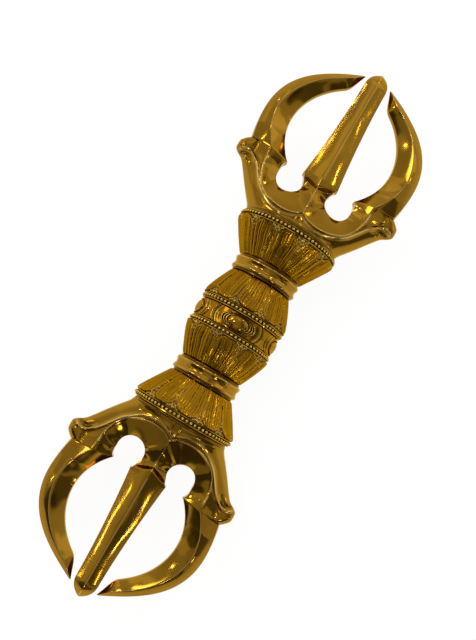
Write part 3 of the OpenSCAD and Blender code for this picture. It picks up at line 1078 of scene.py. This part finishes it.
@dataclass
class SideProng:
    """A curved prong with a long outer bevel, a front ridge and a narrow inner bevel."""

    seat: float
    cusp_y: float = 11.7
    seat_y: float = 25.1
    seat_rise: float = 1.5
    span: float = 26.25
    width: float = 8.95
    depth: float = 4.8
    belly: float = 11.5
    length: float = 36.2
    tip_y: float = 4.75
    knee_back: float = 7.2
    knee_out: float = 3.3
    knee_at: float = 1.72
    ridge_root: float = 0.47
    ridge_shift: float = 0.12
    face_drop: float = 0.575
    face_bow: float = 0.12
    bevel_drop: float = 0.445
    bevel_bow: float = 0.163
    face_chamfer: float = 0.03
    bevel_chamfer: float = 0.07
    bevel_soft: float = 1.4
    stations: int = 130

    def outer(self, u: float) -> Array:
        """Finds the outer edge.

        Args:
            u: From zero at the seat to one at the belly and two at the tip.

        Returns:
            The point's distance along X and across.
        """
        start = (self.seat + self.seat_rise, self.seat_y)
        middle = (self.seat + self.belly, self.span)
        tip = (self.seat + self.length, self.tip_y)
        run, drop = tip[0] - middle[0], middle[1] - tip[1]
        if u <= 1:
            return curve([start, (start[0] + 3, start[1] + 0.65), (middle[0] - 3.5, middle[1]), middle], u)
        return curve([
            middle, (middle[0] + 0.615 * run, middle[1]), (tip[0] - 0.16 * run, tip[1] + 0.327 * drop), tip,
        ], u - 1)

    def inner(self, u: float) -> Array:
        """Finds the inner edge.

        Args:
            u: The same place as on the outer edge.

        Returns:
            The point's distance along X and across.
        """
        cusp = (self.seat, self.cusp_y)
        middle = (self.seat + self.belly + 1, self.span - self.width)
        tip = (self.seat + self.length, self.tip_y)
        knee = (tip[0] - self.knee_back, tip[1] + self.knee_out)
        knee_at = self.knee_at
        if u <= 1:
            return curve([cusp, (cusp[0] + 3, cusp[1] + 3), (middle[0] - 5, middle[1]), middle], u)
        if u <= knee_at:
            return curve([
                middle, (middle[0] + 1.84, middle[1]), (knee[0] - 6.63, knee[1] + 9.23), knee,
            ], (u - 1) / (knee_at - 1))
        return curve([
            knee, (knee[0] + 1.39, knee[1] - 2.09), (tip[0] - 3.93, tip[1] + 1.23),
            (tip[0] - 0.2, tip[1] - 0.35),
        ], (u - knee_at) / (2 - knee_at))

    def ridge_at(self, u: float) -> float:
        """Finds how far the ridge lies from the inner edge, as a share of the width."""
        return self.ridge_root + self.ridge_shift * min(u, 1.0)

    def rise(self, share: Array, ridge: float, wide: float) -> Array:
        """Finds how high the front stands: a bowed inner face and a bowed outer bevel, both chamfered.

        Args:
            share: From zero at the inner edge to one at the outer edge.
            ridge: Where the ridge lies.
            wide: The prong's width there.

        Returns:
            The height above the middle plane.
        """
        deep = min(self.depth * 1.12, self.depth * (wide / self.width) ** 0.8)
        inwards = np.clip(1 - share / ridge, 0, 1)
        outwards = np.clip((share - ridge) / (1 - ridge), 0, 1)
        down = soft_ridge(inwards, 1.0)
        face = 1 - self.face_drop * down - self.face_bow * down ** 2
        face *= chamfered(inwards, self.face_chamfer)
        back = soft_ridge(outwards, self.bevel_soft)
        bevel = 1 - self.bevel_drop * back - self.bevel_bow * back ** 2
        bevel *= chamfered(outwards, self.bevel_chamfer)
        return deep * np.where(share < ridge, face, bevel)

    def build(self) -> Piece:
        """Lofts the prong along its two edges.

        Returns:
            The finished upper left prong.
        """
        third = self.stations // 3
        places = list(np.linspace(0, 1, third)) + list(1 + np.linspace(0, 1, self.stations - third)[1:])
        steps_in = np.concatenate([
            (self.face_chamfer - self.face_chamfer * EDGE_STEPS)[::-1],
            np.linspace(self.face_chamfer, 0.85, 10), 1 - RIDGE_STEPS[:0:-1]])
        steps_out = np.concatenate([
            self.bevel_soft * RIDGE_STEPS, np.linspace(0.22, 1 - self.bevel_chamfer, 9),
            1 - self.bevel_chamfer + self.bevel_chamfer * EDGE_STEPS])
        rings, ridge_line = [], []
        for u in places:
            a, b = self.inner(u), self.outer(u)
            wide = float(np.linalg.norm(b - a))
            ridge = self.ridge_at(u)
            share = np.concatenate([steps_in * ridge, ridge + steps_out * (1 - ridge)])
            high = self.rise(share, ridge, wide)
            line = a + (b - a) * share[:, None]
            front = np.column_stack([line, high])
            rings.append(np.vstack([front, (front * (1, 1, -1))[::-1]]))
            ridge_line.append(a + (b - a) * ridge)
        sunk = rings[0] - np.array([SEAT_SINK_MM, 0.0, 0.0])
        piece = loft([ring.tolist() for ring in [sunk] + rings])
        points = read_points(piece)
        gap, _ = nearest(points[:, 0], points[:, 1], np.array(ridge_line))
        # A painted highlight along the ridge.
        write_painted_light(piece, painted_highlight=RIDGE_HIGHLIGHT * hump(gap, RIDGE_HIGHLIGHT_MM))
        return piece


# The lines of a head's base: X from the centre prong's seat, Y from the axis and, for the crest, the height.
RIM_ROWS = (
    (-17.0, 15.95), (-15.0, 17.5), (-13.0, 19.05), (-11.0, 20.55), (-9.0, 22.0), (-7.2, 23.35), (-6.0, 24.35),
    (-5.2, 25.4), (-4.5, 26.6), (-3.6, 27.45), (-2.4, 27.6), (-1.0, 27.45), (0.1, 26.8), (0.95, 25.9),
)
NECK_ROWS = (
    (0.0, 0.0, 5.8), (-2.4, 0.0, 5.45), (-4.0, 0.0, 5.1), (-6.0, 0.0, 5.4), (-8.5, 0.0, 6.0),
    (-10.7, 0.0, 6.9),
)
ARCH_ROWS = (
    (-12.4, 0.0, 7.9), (-13.8, 2.0, 8.2), (-14.4, 3.95, 8.35), (-14.6, 6.85, 8.15), (-14.0, 9.8, 7.4),
    (-12.7, 12.8, 6.3), (-11.1, 14.7, 5.7), (-8.9, 16.2, 5.4), (-6.4, 17.2, 5.25), (-4.4, 17.6, 5.2),
    (-2.0, 17.6, 5.3), (0.7, 18.16, 5.37),
)
LIP_ROWS = (
    (-13.8, 0.0), (-14.8, 1.8), (-15.6, 4.2), (-15.8, 6.8), (-15.4, 9.2), (-14.1, 12.1), (-12.2, 14.6),
    (-10.8, 15.9), (-8.8, 17.4), (-6.8, 18.8), (-4.9, 20.4), (-3.4, 22.2), (-3.0, 24.0), (-3.6, 25.6),
    (-4.4, 26.5),
)
# How deep the calyx is along its middle, from the foot at zero to the seat at one.
SWELL_RUN = (0.0, 0.03, 0.1, 0.18, 0.25, 0.36, 0.54, 0.75, 1.0)
SWELL_MM = (10.7, 10.3, 9.2, 8.6, 8.2, 7.6, 7.0, 6.4, 6.0)
# Rays from one corner of the base to the next, and places between two points of a line.
RAY_COUNTS = (26, 66, 48, 116, 28)
LINE_STEPS = 8
# The bearing, in degrees, just short of the first ray.
FIRST_BEARING = 84
# A distance that is past everything.
FAR_MM = 60.0


@dataclass
class HeadBase:
    """A head's base: a flared calyx with curled tips, round windows and the roots of three prongs."""

    foot: float
    side: SideProng
    centre: CentreProng
    foot_r: float = 14.9
    foot_t: float = 1.2
    foot_lip: float = 0.1
    window_y: float = 8.42
    window_r: float = 4.25
    window_drop: float = 4.4
    window_edge: float = 0.55
    window_top: float = 0.4
    root_turn: float = 0.6
    cusp_turn: float = 0.85
    tip_x: Point2 = (-8.0, -5.5)
    tip_y: Point2 = (20.0, 23.5)
    beak_depth: float = 3.0
    beak_round: float = 2.4
    keel_height: float = 0.28
    groove_in: float = 0.72
    groove_half: float = 0.3
    groove_depth: float = 0.22
    under_out: float = 1.1
    under_half: float = 0.6
    under_depth: float = 0.8
    lip_half: float = 0.64
    lip_height: float = 0.4
    # How far the painted highlight along the lip's top reaches, in millimetres.
    lip_highlight_mm: float = 0.27
    lip_step: Point2 = (-0.25, 0.15)
    lip_fade: float = 1.3
    bead_half: float = 0.36
    bead_height: float = 0.16
    bead_fade: Point2 = (0.2, -4.0)
    neck_bead: float = 0.35
    bevel: float = 0.32
    arm_bevel: float = 0.38
    arm_degrees: Point2 = (345, 380)
    neck_degrees: Point2 = (200, 170)
    cove: float = 1.8
    neck_drop: float = 2.4
    arm_drop: float = 2.0
    arm_y: float = 17.6
    rows: tuple[int, int, int] = (36, 14, 30)
    foot_steps: int = 180

    @property
    def seat(self) -> float:
        """The centre prong's seat along X."""
        return self.side.seat

    @property
    def window(self) -> Array:
        """The middle of the left window."""
        return np.array([self.seat - self.window_drop, self.window_y])

    def from_seat(self, rows: Sequence[Sequence[float]]) -> Array:
        """Moves a line that is drawn from the centre prong's seat to its place."""
        return np.array(rows) + self.seat * np.eye(1, len(rows[0]))

    def outer_line(self) -> Array:
        """Draws the outer line from the foot's corner round the curled tip to the prong's seat."""
        return spline(np.vstack([
            (self.foot, self.foot_r + self.foot_lip), self.from_seat(RIM_ROWS),
            (self.seat + self.side.seat_rise, self.side.seat_y),
        ]), LINE_STEPS)

    def crest_line(self) -> Array:
        """Draws the crest of the bar that carries the prongs, from the centre seat to a side seat."""
        return np.vstack([self.from_seat(NECK_ROWS), spline(self.from_seat(ARCH_ROWS), LINE_STEPS)])

    def lip_line(self) -> Array:
        """Draws the edge of the calyx, from the middle to the curled tip."""
        return spline(self.from_seat(LIP_ROWS), LINE_STEPS)

    def rays(self) -> tuple[Array, Array]:
        """Spreads rays round the window, with where each starts, meets the crest and the lip, and ends.

        Returns:
            The rays' angles, and for each the four distances from the window's middle.
        """
        middle = self.window
        root = self.centre.root_w / 2
        line = self.outer_line() - middle
        line_angle = np.unwrap(np.arctan2(line[:, 0], line[:, 1])) + FULL_TURN
        # The centre prong's root and middle, the foot's middle and edge, and the side prong's heel and cusp.
        corner = np.array([
            (self.seat, root), (self.seat, 0.0), (self.foot, 0.0), (self.foot, self.foot_r + self.foot_lip),
            (self.seat + self.side.seat_rise, self.side.seat_y), (self.seat, self.side.cusp_y),
        ])
        marks = []
        for point in corner:
            away = point - middle
            angle = math.atan2(away[0], away[1])
            while marks and angle < marks[-1]:
                angle += FULL_TURN
            marks.append(angle)
        spans = zip(marks[:-1], marks[1:], RAY_COUNTS)
        angles = np.concatenate([np.linspace(*span, endpoint=False) for span in spans] + [marks[-1:]])
        outer = np.empty_like(angles)
        for i, angle in enumerate(angles):
            run, rise = math.cos(angle), math.sin(angle)
            if angle <= marks[1]:
                outer[i] = (self.seat - middle[0]) / rise
            elif angle <= marks[2]:
                outer[i] = -middle[1] / run
            elif angle <= marks[3]:
                outer[i] = (self.foot - middle[0]) / rise
            elif angle <= marks[4]:
                outer[i] = np.interp(angle, line_angle, np.hypot(line[:, 0], line[:, 1]))
            else:
                a, b = corner[4] - middle, corner[5] - middle
                d = b - a
                outer[i] = (a[1] * d[0] - a[0] * d[1]) / (run * d[0] - rise * d[1])
        start = np.hypot(*(corner[0] - middle))
        stop = np.hypot(*(corner[5] - middle))
        inner = np.full_like(angles, self.window_r)
        inner += (start - self.window_r) * smooth(marks[0] + self.root_turn, marks[0], angles)
        inner += (stop - self.window_r) * smooth(marks[5] - self.cusp_turn, marks[5], angles)
        inner = np.minimum(inner, outer)
        arch = self.crest_line()[len(NECK_ROWS):, :2]
        arch = arch[arch[:, 0] < self.seat - self.arm_drop]
        fold = np.vstack([
            corner[0], [self.seat - self.neck_drop, 0.0], arch,
            [self.seat - self.arm_drop, self.arm_y], corner[5],
        ])
        crest = np.clip(self.reach(fold, angles, 12), inner, outer)
        lip = self.lip_line()
        lip = lip[:int(np.argmax(self.bearing(lip[:, 0], lip[:, 1]))) + 1]
        end = self.bearing(lip[-1:, 0], lip[-1:, 1])[0]
        first = self.bearing(lip[:1, 0], lip[:1, 1])[0]
        to_lip = self.reach(lip, angles, 4)
        past = smooth(end, end + 0.12, angles)
        to_lip = np.where(angles < first, outer, to_lip * (1 - past) + outer * past)
        return angles, np.stack([inner, crest, np.clip(to_lip, crest, outer), outer])

    def reach(self, line: Array, angles: Array, fine: int) -> Array:
        """Measures how far a line round the window lies along each ray.

        Args:
            line: The line's points along X and across, with bearings that grow.
            angles: The rays' angles.
            fine: How many places to take between one point and the next.

        Returns:
            The distances from the window's middle.
        """
        steps = np.linspace(0, len(line) - 1, (len(line) - 1) * fine + 1)
        number = np.arange(len(line))
        x, y = np.interp(steps, number, line[:, 0]), np.interp(steps, number, line[:, 1])
        return np.interp(angles, self.bearing(x, y), np.hypot(x - self.window[0], y - self.window[1]))

    def bearing(self, x: Array, y: Array) -> Array:
        """Finds the angle round the window, which grows from the centre prong's root round to the cusp."""
        angle = np.arctan2(x - self.window[0], y - self.window[1]) % FULL_TURN
        return np.where(angle < math.radians(FIRST_BEARING), angle + FULL_TURN, angle)

    def bar(self, x: Array, y: Array) -> Array:
        """Works out the bar inside its crest: the saddles round the windows and the roots of the prongs.

        Args:
            x: Places along the axis.
            y: Places across, from the axis outwards.

        Returns:
            The height of the bar.
        """
        middle = self.window
        crest = self.crest_line()
        bearings = self.bearing(crest[:, 0], crest[:, 1])
        reach = np.hypot(crest[:, 0] - middle[0], crest[:, 1] - middle[1])
        angle = self.bearing(x, y)
        top = np.interp(angle, bearings, crest[:, 2])
        far = np.interp(angle, bearings, reach)
        out = np.hypot(x - middle[0], y - middle[1])
        climb = np.clip((out - self.window_r) / (far - self.window_r), 0, 1)
        degrees = np.degrees(angle)
        high = smooth(*self.arm_degrees, degrees) + smooth(*self.neck_degrees, degrees)
        edge = top * (self.window_edge + (self.window_top - self.window_edge) * high)
        rise = (1.3 * climb - 0.3 * climb ** 2) * (1 - high) + climb ** 1.15 * high
        saddle = edge + (top - edge) * rise
        on_arm = y > middle[1]
        cusp, heel = self.side.inner(0.0), self.side.outer(0.0)
        wide = float(np.linalg.norm(heel - cusp))
        share = ((x - cusp[0]) * (heel - cusp)[0] + (y - cusp[1]) * (heel - cusp)[1]) / wide ** 2
        arm = self.side.rise(np.clip(share, 0, 1), self.side.ridge_at(0.0), wide)
        root_w, root_d = self.centre.half(0.0)
        root = root_d * self.centre.rise(np.clip(y / root_w, 0, 1))
        facets = np.where(on_arm, arm, root)
        arm_line = self.seat - self.arm_drop * (y - self.side.cusp_y) / (self.arm_y - self.side.cusp_y)
        root_line = self.seat - self.neck_drop * (1 - y / root_w)
        above = x - np.where(on_arm, arm_line, root_line)
        cove = smooth(-self.cove, 0.0, above) ** 1.5
        return np.where(above > 0, facets, facets * cove + saddle * (1 - cove))

    def heights(self, x: Array, y: Array) -> tuple[Array, ...]:
        """Works out the front surface above the middle plane.

        Args:
            x: Places along the axis.
            y: Places across, from the axis outwards.

        Returns:
            The height of the surface, the painted shade in its hollows and the painted highlight on its
            edges.
        """
        crest, lip, line = self.crest_line(), self.lip_line(), self.outer_line()
        from_crest, crest_z = nearest(x, y, crest)
        from_lip, _ = nearest(x, y, lip)
        from_edge, _ = nearest(x, y, line)
        top = self.seat + FAR_MM
        in_bar = within(x, y, np.vstack([crest[:, :2], [[top, crest[-1, 1]], [top, 0.0]]]))
        in_lip = within(x, y, np.vstack([lip, [[lip[-1, 0] - 0.6, FAR_MM], [top, FAR_MM], [top, 0.0]]]))
        run = (x - self.foot) / (self.seat - self.foot)
        edge = np.interp(x, line[:, 0], line[:, 1])
        swell = np.interp(run, SWELL_RUN, SWELL_MM)
        calyx = swell * np.sqrt(np.clip(1 - (np.abs(y) / np.maximum(edge, 1.0)) ** 2.3, 0, 1))
        calyx += self.keel_height * smooth(1.25, 0.95, y) * smooth(0.03, 0.08, run)
        short = 1 - np.clip(from_edge / self.beak_round, 0, 1)
        leaf = self.beak_depth * np.sqrt(np.clip(1 - short ** 2, 0, 1))
        tip = smooth(*self.tip_y, y) * smooth(*self.tip_x, x - self.seat)
        calyx = calyx * (1 - tip) + leaf * tip
        steep = self.bevel + self.arm_bevel * smooth(self.seat - 8.0, self.seat, x)
        bevel = crest_z - steep * from_crest
        beak = leaf * smooth(20.5, 23.0, y)
        middle = np.maximum(bevel, beak)
        lip_gap = np.where(in_lip, -from_lip, from_lip)
        over = smooth(*self.lip_step, lip_gap)
        shell = middle * (1 - over) + calyx * over
        groove = hump(lip_gap + self.groove_in, self.groove_half)
        roll = self.lip_height * hump(lip_gap, self.lip_half)
        under = hump(lip_gap - self.under_out, self.under_half) * tip
        fade = smooth(0.0, self.lip_fade, from_edge)
        shell = shell + (roll - self.groove_depth * groove - self.under_depth * under) * fade
        bar = self.bar(x, y)
        height = np.where(in_bar, bar, shell)
        arch = smooth(*self.bead_fade, x - self.seat) * np.where(y < 1.0, self.neck_bead, 1.0)
        height += self.bead_height * hump(from_crest, self.bead_half) * arch
        # Painted shade in the groove behind the lip, under the curled tips and towards the foot; painted
        # highlights along the crest's bead and the lip's top.
        hollow = np.where(in_bar, 0.0, 0.3 * groove + 0.5 * under)
        hollow += 0.6 * smooth(0.06, 0.02, run)
        painted_highlight = 0.9 * hump(from_crest, RIDGE_HIGHLIGHT_MM) * arch
        painted_highlight += 0.6 * hump(lip_gap, self.lip_highlight_mm) * fade
        return np.maximum(height, 0), hollow, painted_highlight

    def build(self) -> Piece:
        """Shapes a grid into one quarter of the base, mirrors it and adds the round foot.

        Returns:
            The finished upper base.
        """
        angles, marks = self.rays()
        up_to, between, beyond = (np.arange(1, n + 1) / n for n in self.rows)
        share = np.concatenate([[0.0], 1 - (1 - up_to) ** 1.5, 1 + between, 2 + beyond ** 1.5])
        bpy.ops.object.select_all(action="DESELECT")
        bpy.ops.mesh.primitive_grid_add(
            x_subdivisions=len(angles) - 1, y_subdivisions=len(share) - 1, size=MM)
        piece = bpy.context.object
        radius = np.stack([np.interp(share, (0, 1, 2, 3), marks[:, i]) for i in range(len(angles))], axis=1)
        x = self.window[0] + radius * np.sin(angles)[None, :]
        y = np.maximum(self.window[1] + radius * np.cos(angles)[None, :], 0.0)
        height, hollow, painted_highlight = self.heights(x, y)
        line = self.outer_line()
        first = int(np.argmin(np.abs(np.hypot(x[-1] - line[0, 0], y[-1] - line[0, 1]))))
        last = int(np.argmin(np.abs(np.hypot(x[-1] - line[-1, 0], y[-1] - line[-1, 1]))))
        height[-1, first:last + 1] = 0.0
        write_points(piece, np.stack([x.ravel(), y.ravel(), height.ravel()], axis=1))
        write_painted_light(piece, hollow.ravel(), painted_highlight.ravel())
        self.close_walls(piece)
        for axis in ("Z", "Y"):
            self.mirror(piece, axis)
        close_up()
        foot = turn([
            (self.foot, BORE_R_MM), (self.foot, self.foot_r - 0.25), (self.foot + 0.25, self.foot_r),
            (self.foot + self.foot_t - 0.3, self.foot_r - 0.05),
            (self.foot + self.foot_t, self.foot_r - 0.5), (self.foot + self.foot_t, BORE_R_MM),
        ], self.foot_steps)
        # Painted shade over the whole round foot, beside the beaded rim.
        write_painted_light(foot, np.full(len(foot.data.vertices), 0.6))
        return joined([piece, foot])

    @staticmethod
    def close_walls(piece: Piece) -> None:
        """Extrudes the open edges down to the middle plane, except along the axis.

        Args:
            piece: The grid that holds one quarter, which is the active object.
        """
        near = MERGE_MM * MM
        with editing(edges=True):
            shell = bmesh.from_edit_mesh(piece.data)
            on_seam = [face for face in shell.faces if all(abs(vert.co.y) < near for vert in face.verts)]
            bmesh.ops.delete(shell, geom=on_seam, context="FACES")
            for edge in shell.edges:
                on_axis = all(abs(vert.co.y) < near for vert in edge.verts)
                flat = all(vert.co.z < FLAT_M for vert in edge.verts)
                edge.select_set(edge.is_boundary and not on_axis and not flat)
            bmesh.update_edit_mesh(piece.data)
            bpy.ops.mesh.extrude_region_move()
            bpy.ops.transform.resize(value=(1, 1, 0), center_override=(0, 0, 0))

    @staticmethod
    def mirror(piece: Piece, axis: str) -> None:
        """Mirrors the piece across a plane through the origin.

        Args:
            piece: The mesh object, which is the active one.
            axis: The plane's normal, Y or Z.
        """
        twin = piece.modifiers.new("mirror", "MIRROR")
        twin.use_axis = (False, axis == "Y", axis == "Z")
        twin.use_clip = True
        twin.merge_threshold = 2 * MERGE_MM * MM
        bpy.ops.object.modifier_apply(modifier=twin.name)


@dataclass(frozen=True)
class Card:
    """A dark or bright patch of the room, as the object sees it."""

    azimuth: float
    elevation: float
    half_degrees: float
    factor: float

    @property
    def way(self) -> Point3:
        """The way to the patch's middle."""
        turned, raised = math.radians(self.azimuth), math.radians(self.elevation)
        return math.cos(turned) * math.cos(raised), math.sin(turned) * math.cos(raised), math.sin(raised)

    @property
    def half(self) -> float:
        """Half of the patch's width, in radians."""
        return math.radians(self.half_degrees)


# Azimuth, elevation, half width and brightness of each patch.
CARDS = (
    Card(141, 28, 24, 0.2), Card(-145, 28, 28, 0.2), Card(62, 22, 15, 1.7), Card(-45, 22, 11, 1.7),
    Card(-100, 26, 13, 0.3), Card(97, 50, 10, 0.3), Card(20, 50, 12, 1.6), Card(-20, 34, 9, 0.35),
    Card(170, 62, 14, 1.6), Card(-80, 62, 16, 0.4), Card(104, 21, 11, 1.5),
)
# The room's grey from the horizon up to the zenith.
ROOM_STOPS = ((0.0, 0.85), (0.2, 0.75), (0.45, 0.66), (0.75, 0.62), (1.0, 0.6))
# Name, place and size in millimetres, and watts of each lamp.
LAMPS = (
    ("top_lamp", (40, 265, 615), (70, 60), 0.16),
    ("left_lamp", (356, 582, 155), (14, 14), 0.014),
    ("right_lamp", (322, -568, 218), (18, 18), 0.028),
    ("side_lamp", (-10, 566, 340), (24, 24), 0.04),
    ("left_box", (172, 460, 441), (230, 120), 0.46),
    ("cup_lamp", (-445, -290, 400), (90, 70), 0.22),
    ("end_lamp", (530, -165, 330), (60, 50), 0.13),
    ("low_left_lamp", (-232, 607, 210), (16, 16), 0.02),
    ("low_right_lamp", (-230, -605, 218), (18, 18), 0.028),
)


@dataclass
class Studio:
    """A plain white floor, a pale room, soft lamps and the photograph's camera."""

    floor_z: float
    camera_at: Point3 = (-25.8, 2.15, 267.1)
    camera_right: Point3 = (0.5026, -0.86257, 0.05806)
    camera_down: Point3 = (-0.85822, -0.5059, -0.08675)
    focal_px: float = 900.0
    frame_h_px: float = 640.0
    sensor_mm: float = 36.0
    clip_m: float = 0.01
    floor_m: float = 6.0
    paper: str = "#e6e6e4"
    shadow_grey: float = 0.16
    white: float = 0.92
    lean_from: Point2 = (-0.9, 0.9)
    lean: Point2 = (0.5, 1.1)
    horizon: Point2 = (0.14, 0.2)
    below: float = 1.1
    bend: float = 0.35
    bend_scale: float = 3.0
    card_core: float = 0.8

    def camera(self) -> None:
        """Sets up the camera at the photograph's place."""
        data = bpy.data.cameras.new("photo_camera")
        data.sensor_fit = "VERTICAL"
        data.sensor_height = self.sensor_mm
        data.lens = self.sensor_mm * self.focal_px / self.frame_h_px
        data.clip_start = self.clip_m
        camera = bpy.data.objects.new("photo_camera", data)
        bpy.context.scene.collection.objects.link(camera)
        right = Vector(self.camera_right).normalized()
        up = -Vector(self.camera_down)
        up = (up - up.dot(right) * right).normalized()
        back = right.cross(up)
        turned = Matrix((right, up, back)).transposed().to_4x4()
        camera.matrix_world = Matrix.Translation(Vector(self.camera_at) * MM) @ turned
        bpy.context.scene.camera = camera

    def floor(self) -> None:
        """Lays the floor: plain white paper, with the object's soft grey shadow on it."""
        bpy.ops.object.select_all(action="DESELECT")
        bpy.ops.mesh.primitive_plane_add(size=self.floor_m, location=(0, 0, self.floor_z * MM))
        floor = bpy.context.object
        floor.name = "floor"
        bpy.ops.object.transform_apply(location=True, rotation=True, scale=True)
        made = bpy.data.materials.new("white_paper")
        bench = Bench(made)
        rays = bench.add("LightPath").outputs
        seen = bench.compute("MAXIMUM", rays["Is Camera Ray"], rays["Is Glossy Ray"])
        shown = bench.compute("MAXIMUM", seen, rays["Is Transmission Ray"])
        paper = bench.add("BsdfDiffuse", {"Color": linear(self.paper)})
        faint = bench.add("BsdfDiffuse", {"Color": (*[self.shadow_grey] * 3, 1)})
        glow = bench.add("Emission", {"Color": (1, 1, 1, 1), "Strength": self.white})
        white = bench.add("AddShader", {0: faint.outputs[0], 1: glow.outputs[0]})
        mixed = bench.add("MixShader", {0: shown, 1: paper.outputs[0], 2: white.outputs[0]})
        bench.add("OutputMaterial", {"Surface": mixed.outputs[0]})
        floor.data.materials.append(made)

    def world(self) -> None:
        """Makes an even pale room with dark and bright patches above the height of the object."""
        world = bpy.data.worlds.new("studio_room")
        bpy.context.scene.world = world
        bench = Bench(world)
        way = bench.add("TexCoord").outputs["Generated"]
        parts = bench.add("SeparateXYZ", {"Vector": way}).outputs
        ramp = bench.add("ValToRGB", {"Fac": parts["Z"]})
        while len(ramp.color_ramp.elements) < len(ROOM_STOPS):
            ramp.color_ramp.elements.new(0.5)
        for element, (place, grey) in zip(ramp.color_ramp.elements, ROOM_STOPS):
            element.position = place
            element.color = (grey, grey, grey, 1)
        noise = bench.add("TexNoise", {"Vector": way, "Scale": self.bend_scale, "Detail": 1.0})
        shift = bench.compute("SUBTRACT", noise.outputs["Color"], (0.5, 0.5, 0.5), kind="VectorMath")
        bent = bench.compute("MULTIPLY_ADD", shift, (self.bend,) * 3, way, kind="VectorMath")
        strength = bench.remap(parts["X"], self.lean_from, self.lean)
        for card in CARDS:
            near = bench.compute("DOT_PRODUCT", bent, card.way, kind="VectorMath")
            edge = (math.cos(card.half), math.cos(self.card_core * card.half))
            strength = bench.compute("MULTIPLY", strength, bench.remap(near, edge, (1.0, card.factor)))
        above = bench.remap(parts["Z"], self.horizon, (0.0, 1.0))
        links = {"Factor": above, "A": self.below, "B": strength}
        mixed = bench.add("Mix", links, data_type="FLOAT").outputs[0]
        glow = bench.add("Background", {"Color": ramp.outputs["Color"], "Strength": mixed})
        bench.add("OutputWorld", {"Surface": glow.outputs[0]})

    def lamp(self, name: str, at_mm: Point3, size_mm: Point2, watts: float) -> None:
        """Adds a soft box that faces the middle of the object.

        Args:
            name: The lamp's name.
            at_mm: Where it hangs.
            size_mm: Its width and height.
            watts: Its power.
        """
        data = bpy.data.lights.new(name, "AREA")
        data.shape = "ELLIPSE"
        data.size, data.size_y = size_mm[0] * MM, size_mm[1] * MM
        data.energy = watts
        lamp = bpy.data.objects.new(name, data)
        bpy.context.scene.collection.objects.link(lamp)
        lamp.location = Vector(at_mm) * MM
        lamp.rotation_euler = (-lamp.location).to_track_quat("-Z", "Y").to_euler()

    def build(self) -> None:
        """Sets the whole studio up."""
        bpy.context.scene.view_settings.view_transform = "Standard"
        self.camera()
        self.floor()
        self.world()
        for name, at_mm, size_mm, watts in LAMPS:
            self.lamp(name, at_mm, size_mm, watts)


def main() -> None:
    """Builds every piece, in order along the axis, and then the studio."""
    logging.basicConfig(level=logging.INFO, format="%(name)s %(message)s")
    finishes = Finishes()
    stack = Stack.from_frame()
    inner_r, outer_r, band_r = (
        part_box(node)[1].z / MM for node in ("inner_lotus_upper", "outer_lotus_upper", "ring_band_upper"))
    cups = (
        LotusCup("inner_lotus", rim_x=stack.inner_rim, rim_r=inner_r, neck_x=stack.band_start,
                 neck_r=9.3, bulge=0.375, petals=10),
        LotusCup("outer_lotus", rim_x=stack.outer_rim, rim_r=outer_r, neck_x=stack.band_end,
                 neck_r=9.7, bulge=0.1, petals=12),
    )
    for cup in cups:
        hand_over_ends(cup.build(), cup.node, Slot.CHASED, finishes, RELIEF_CREASE)
    rings = (
        BeadRing("inner_beads", start=stack.drum_end, end=stack.inner_rim, ring_r=13.0, inner_r=10.85),
        BeadRing("outer_beads", start=stack.outer_rim, end=stack.foot, ring_r=15.7, inner_r=13.55),
    )
    for ring in rings:
        hand_over_ends(ring.build(), ring.node, Slot.BEADED, finishes, TURNED_CREASE)
    band = RingBand("ring_band", start=stack.band_start, end=stack.band_end, outer_r=band_r)
    hand_over_ends(band.build(), band.node, Slot.POLISHED, finishes, BAND_CREASE)
    grip = Grip(stack.drum_end)
    hand_over(grip.drum(), "grip_drum", Slot.CHASED, finishes, TURNED_CREASE)
    eye_parts = (("eye_bezel", grip.bezel(), Slot.CHASED), ("eye_boss", grip.boss(), Slot.POLISHED))
    for word, front, slot in eye_parts:
        eyes = {Quarter.FRONT: front}
        for quarter in list(Quarter)[1:]:
            eyes[quarter] = copied(front, Matrix.Rotation(quarter.turn, 4, "X"))
        for quarter, piece in eyes.items():
            hand_over(piece, f"{word}_{quarter.word}", slot, finishes, RELIEF_CREASE)
    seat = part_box("side_prong_upper_left")[1].x / MM - SideProng.length
    side = SideProng(seat)
    centre = CentreProng(seat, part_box("centre_prong_upper")[1].x / MM - seat)
    hand_over_ends(centre.build(), "centre_prong", Slot.POLISHED, finishes, RIDGE_CREASE)
    for end, piece in both_ends(side.build()).items():
        sides = {Side.LEFT: piece, Side.RIGHT: copied(piece, Matrix.Scale(-1, 4, (0, 1, 0)))}
        for way, prong in sides.items():
            node = f"side_prong_{end.value}_{way.value}"
            hand_over(prong, node, Slot.POLISHED, finishes, RIDGE_CREASE)
    base = HeadBase(stack.foot, side, centre)
    hand_over_ends(base.build(), "head_base", Slot.POLISHED, finishes, RELIEF_CREASE)
    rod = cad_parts["tie_rod"]
    rod.data.materials.clear()
    rod.data.materials.append(finishes.by_slot[Slot.POLISHED])
    Studio(CAD_BOX[0][2] / MM - FLOOR_GAP_MM).build()


if __name__ == "__main__":
    main()
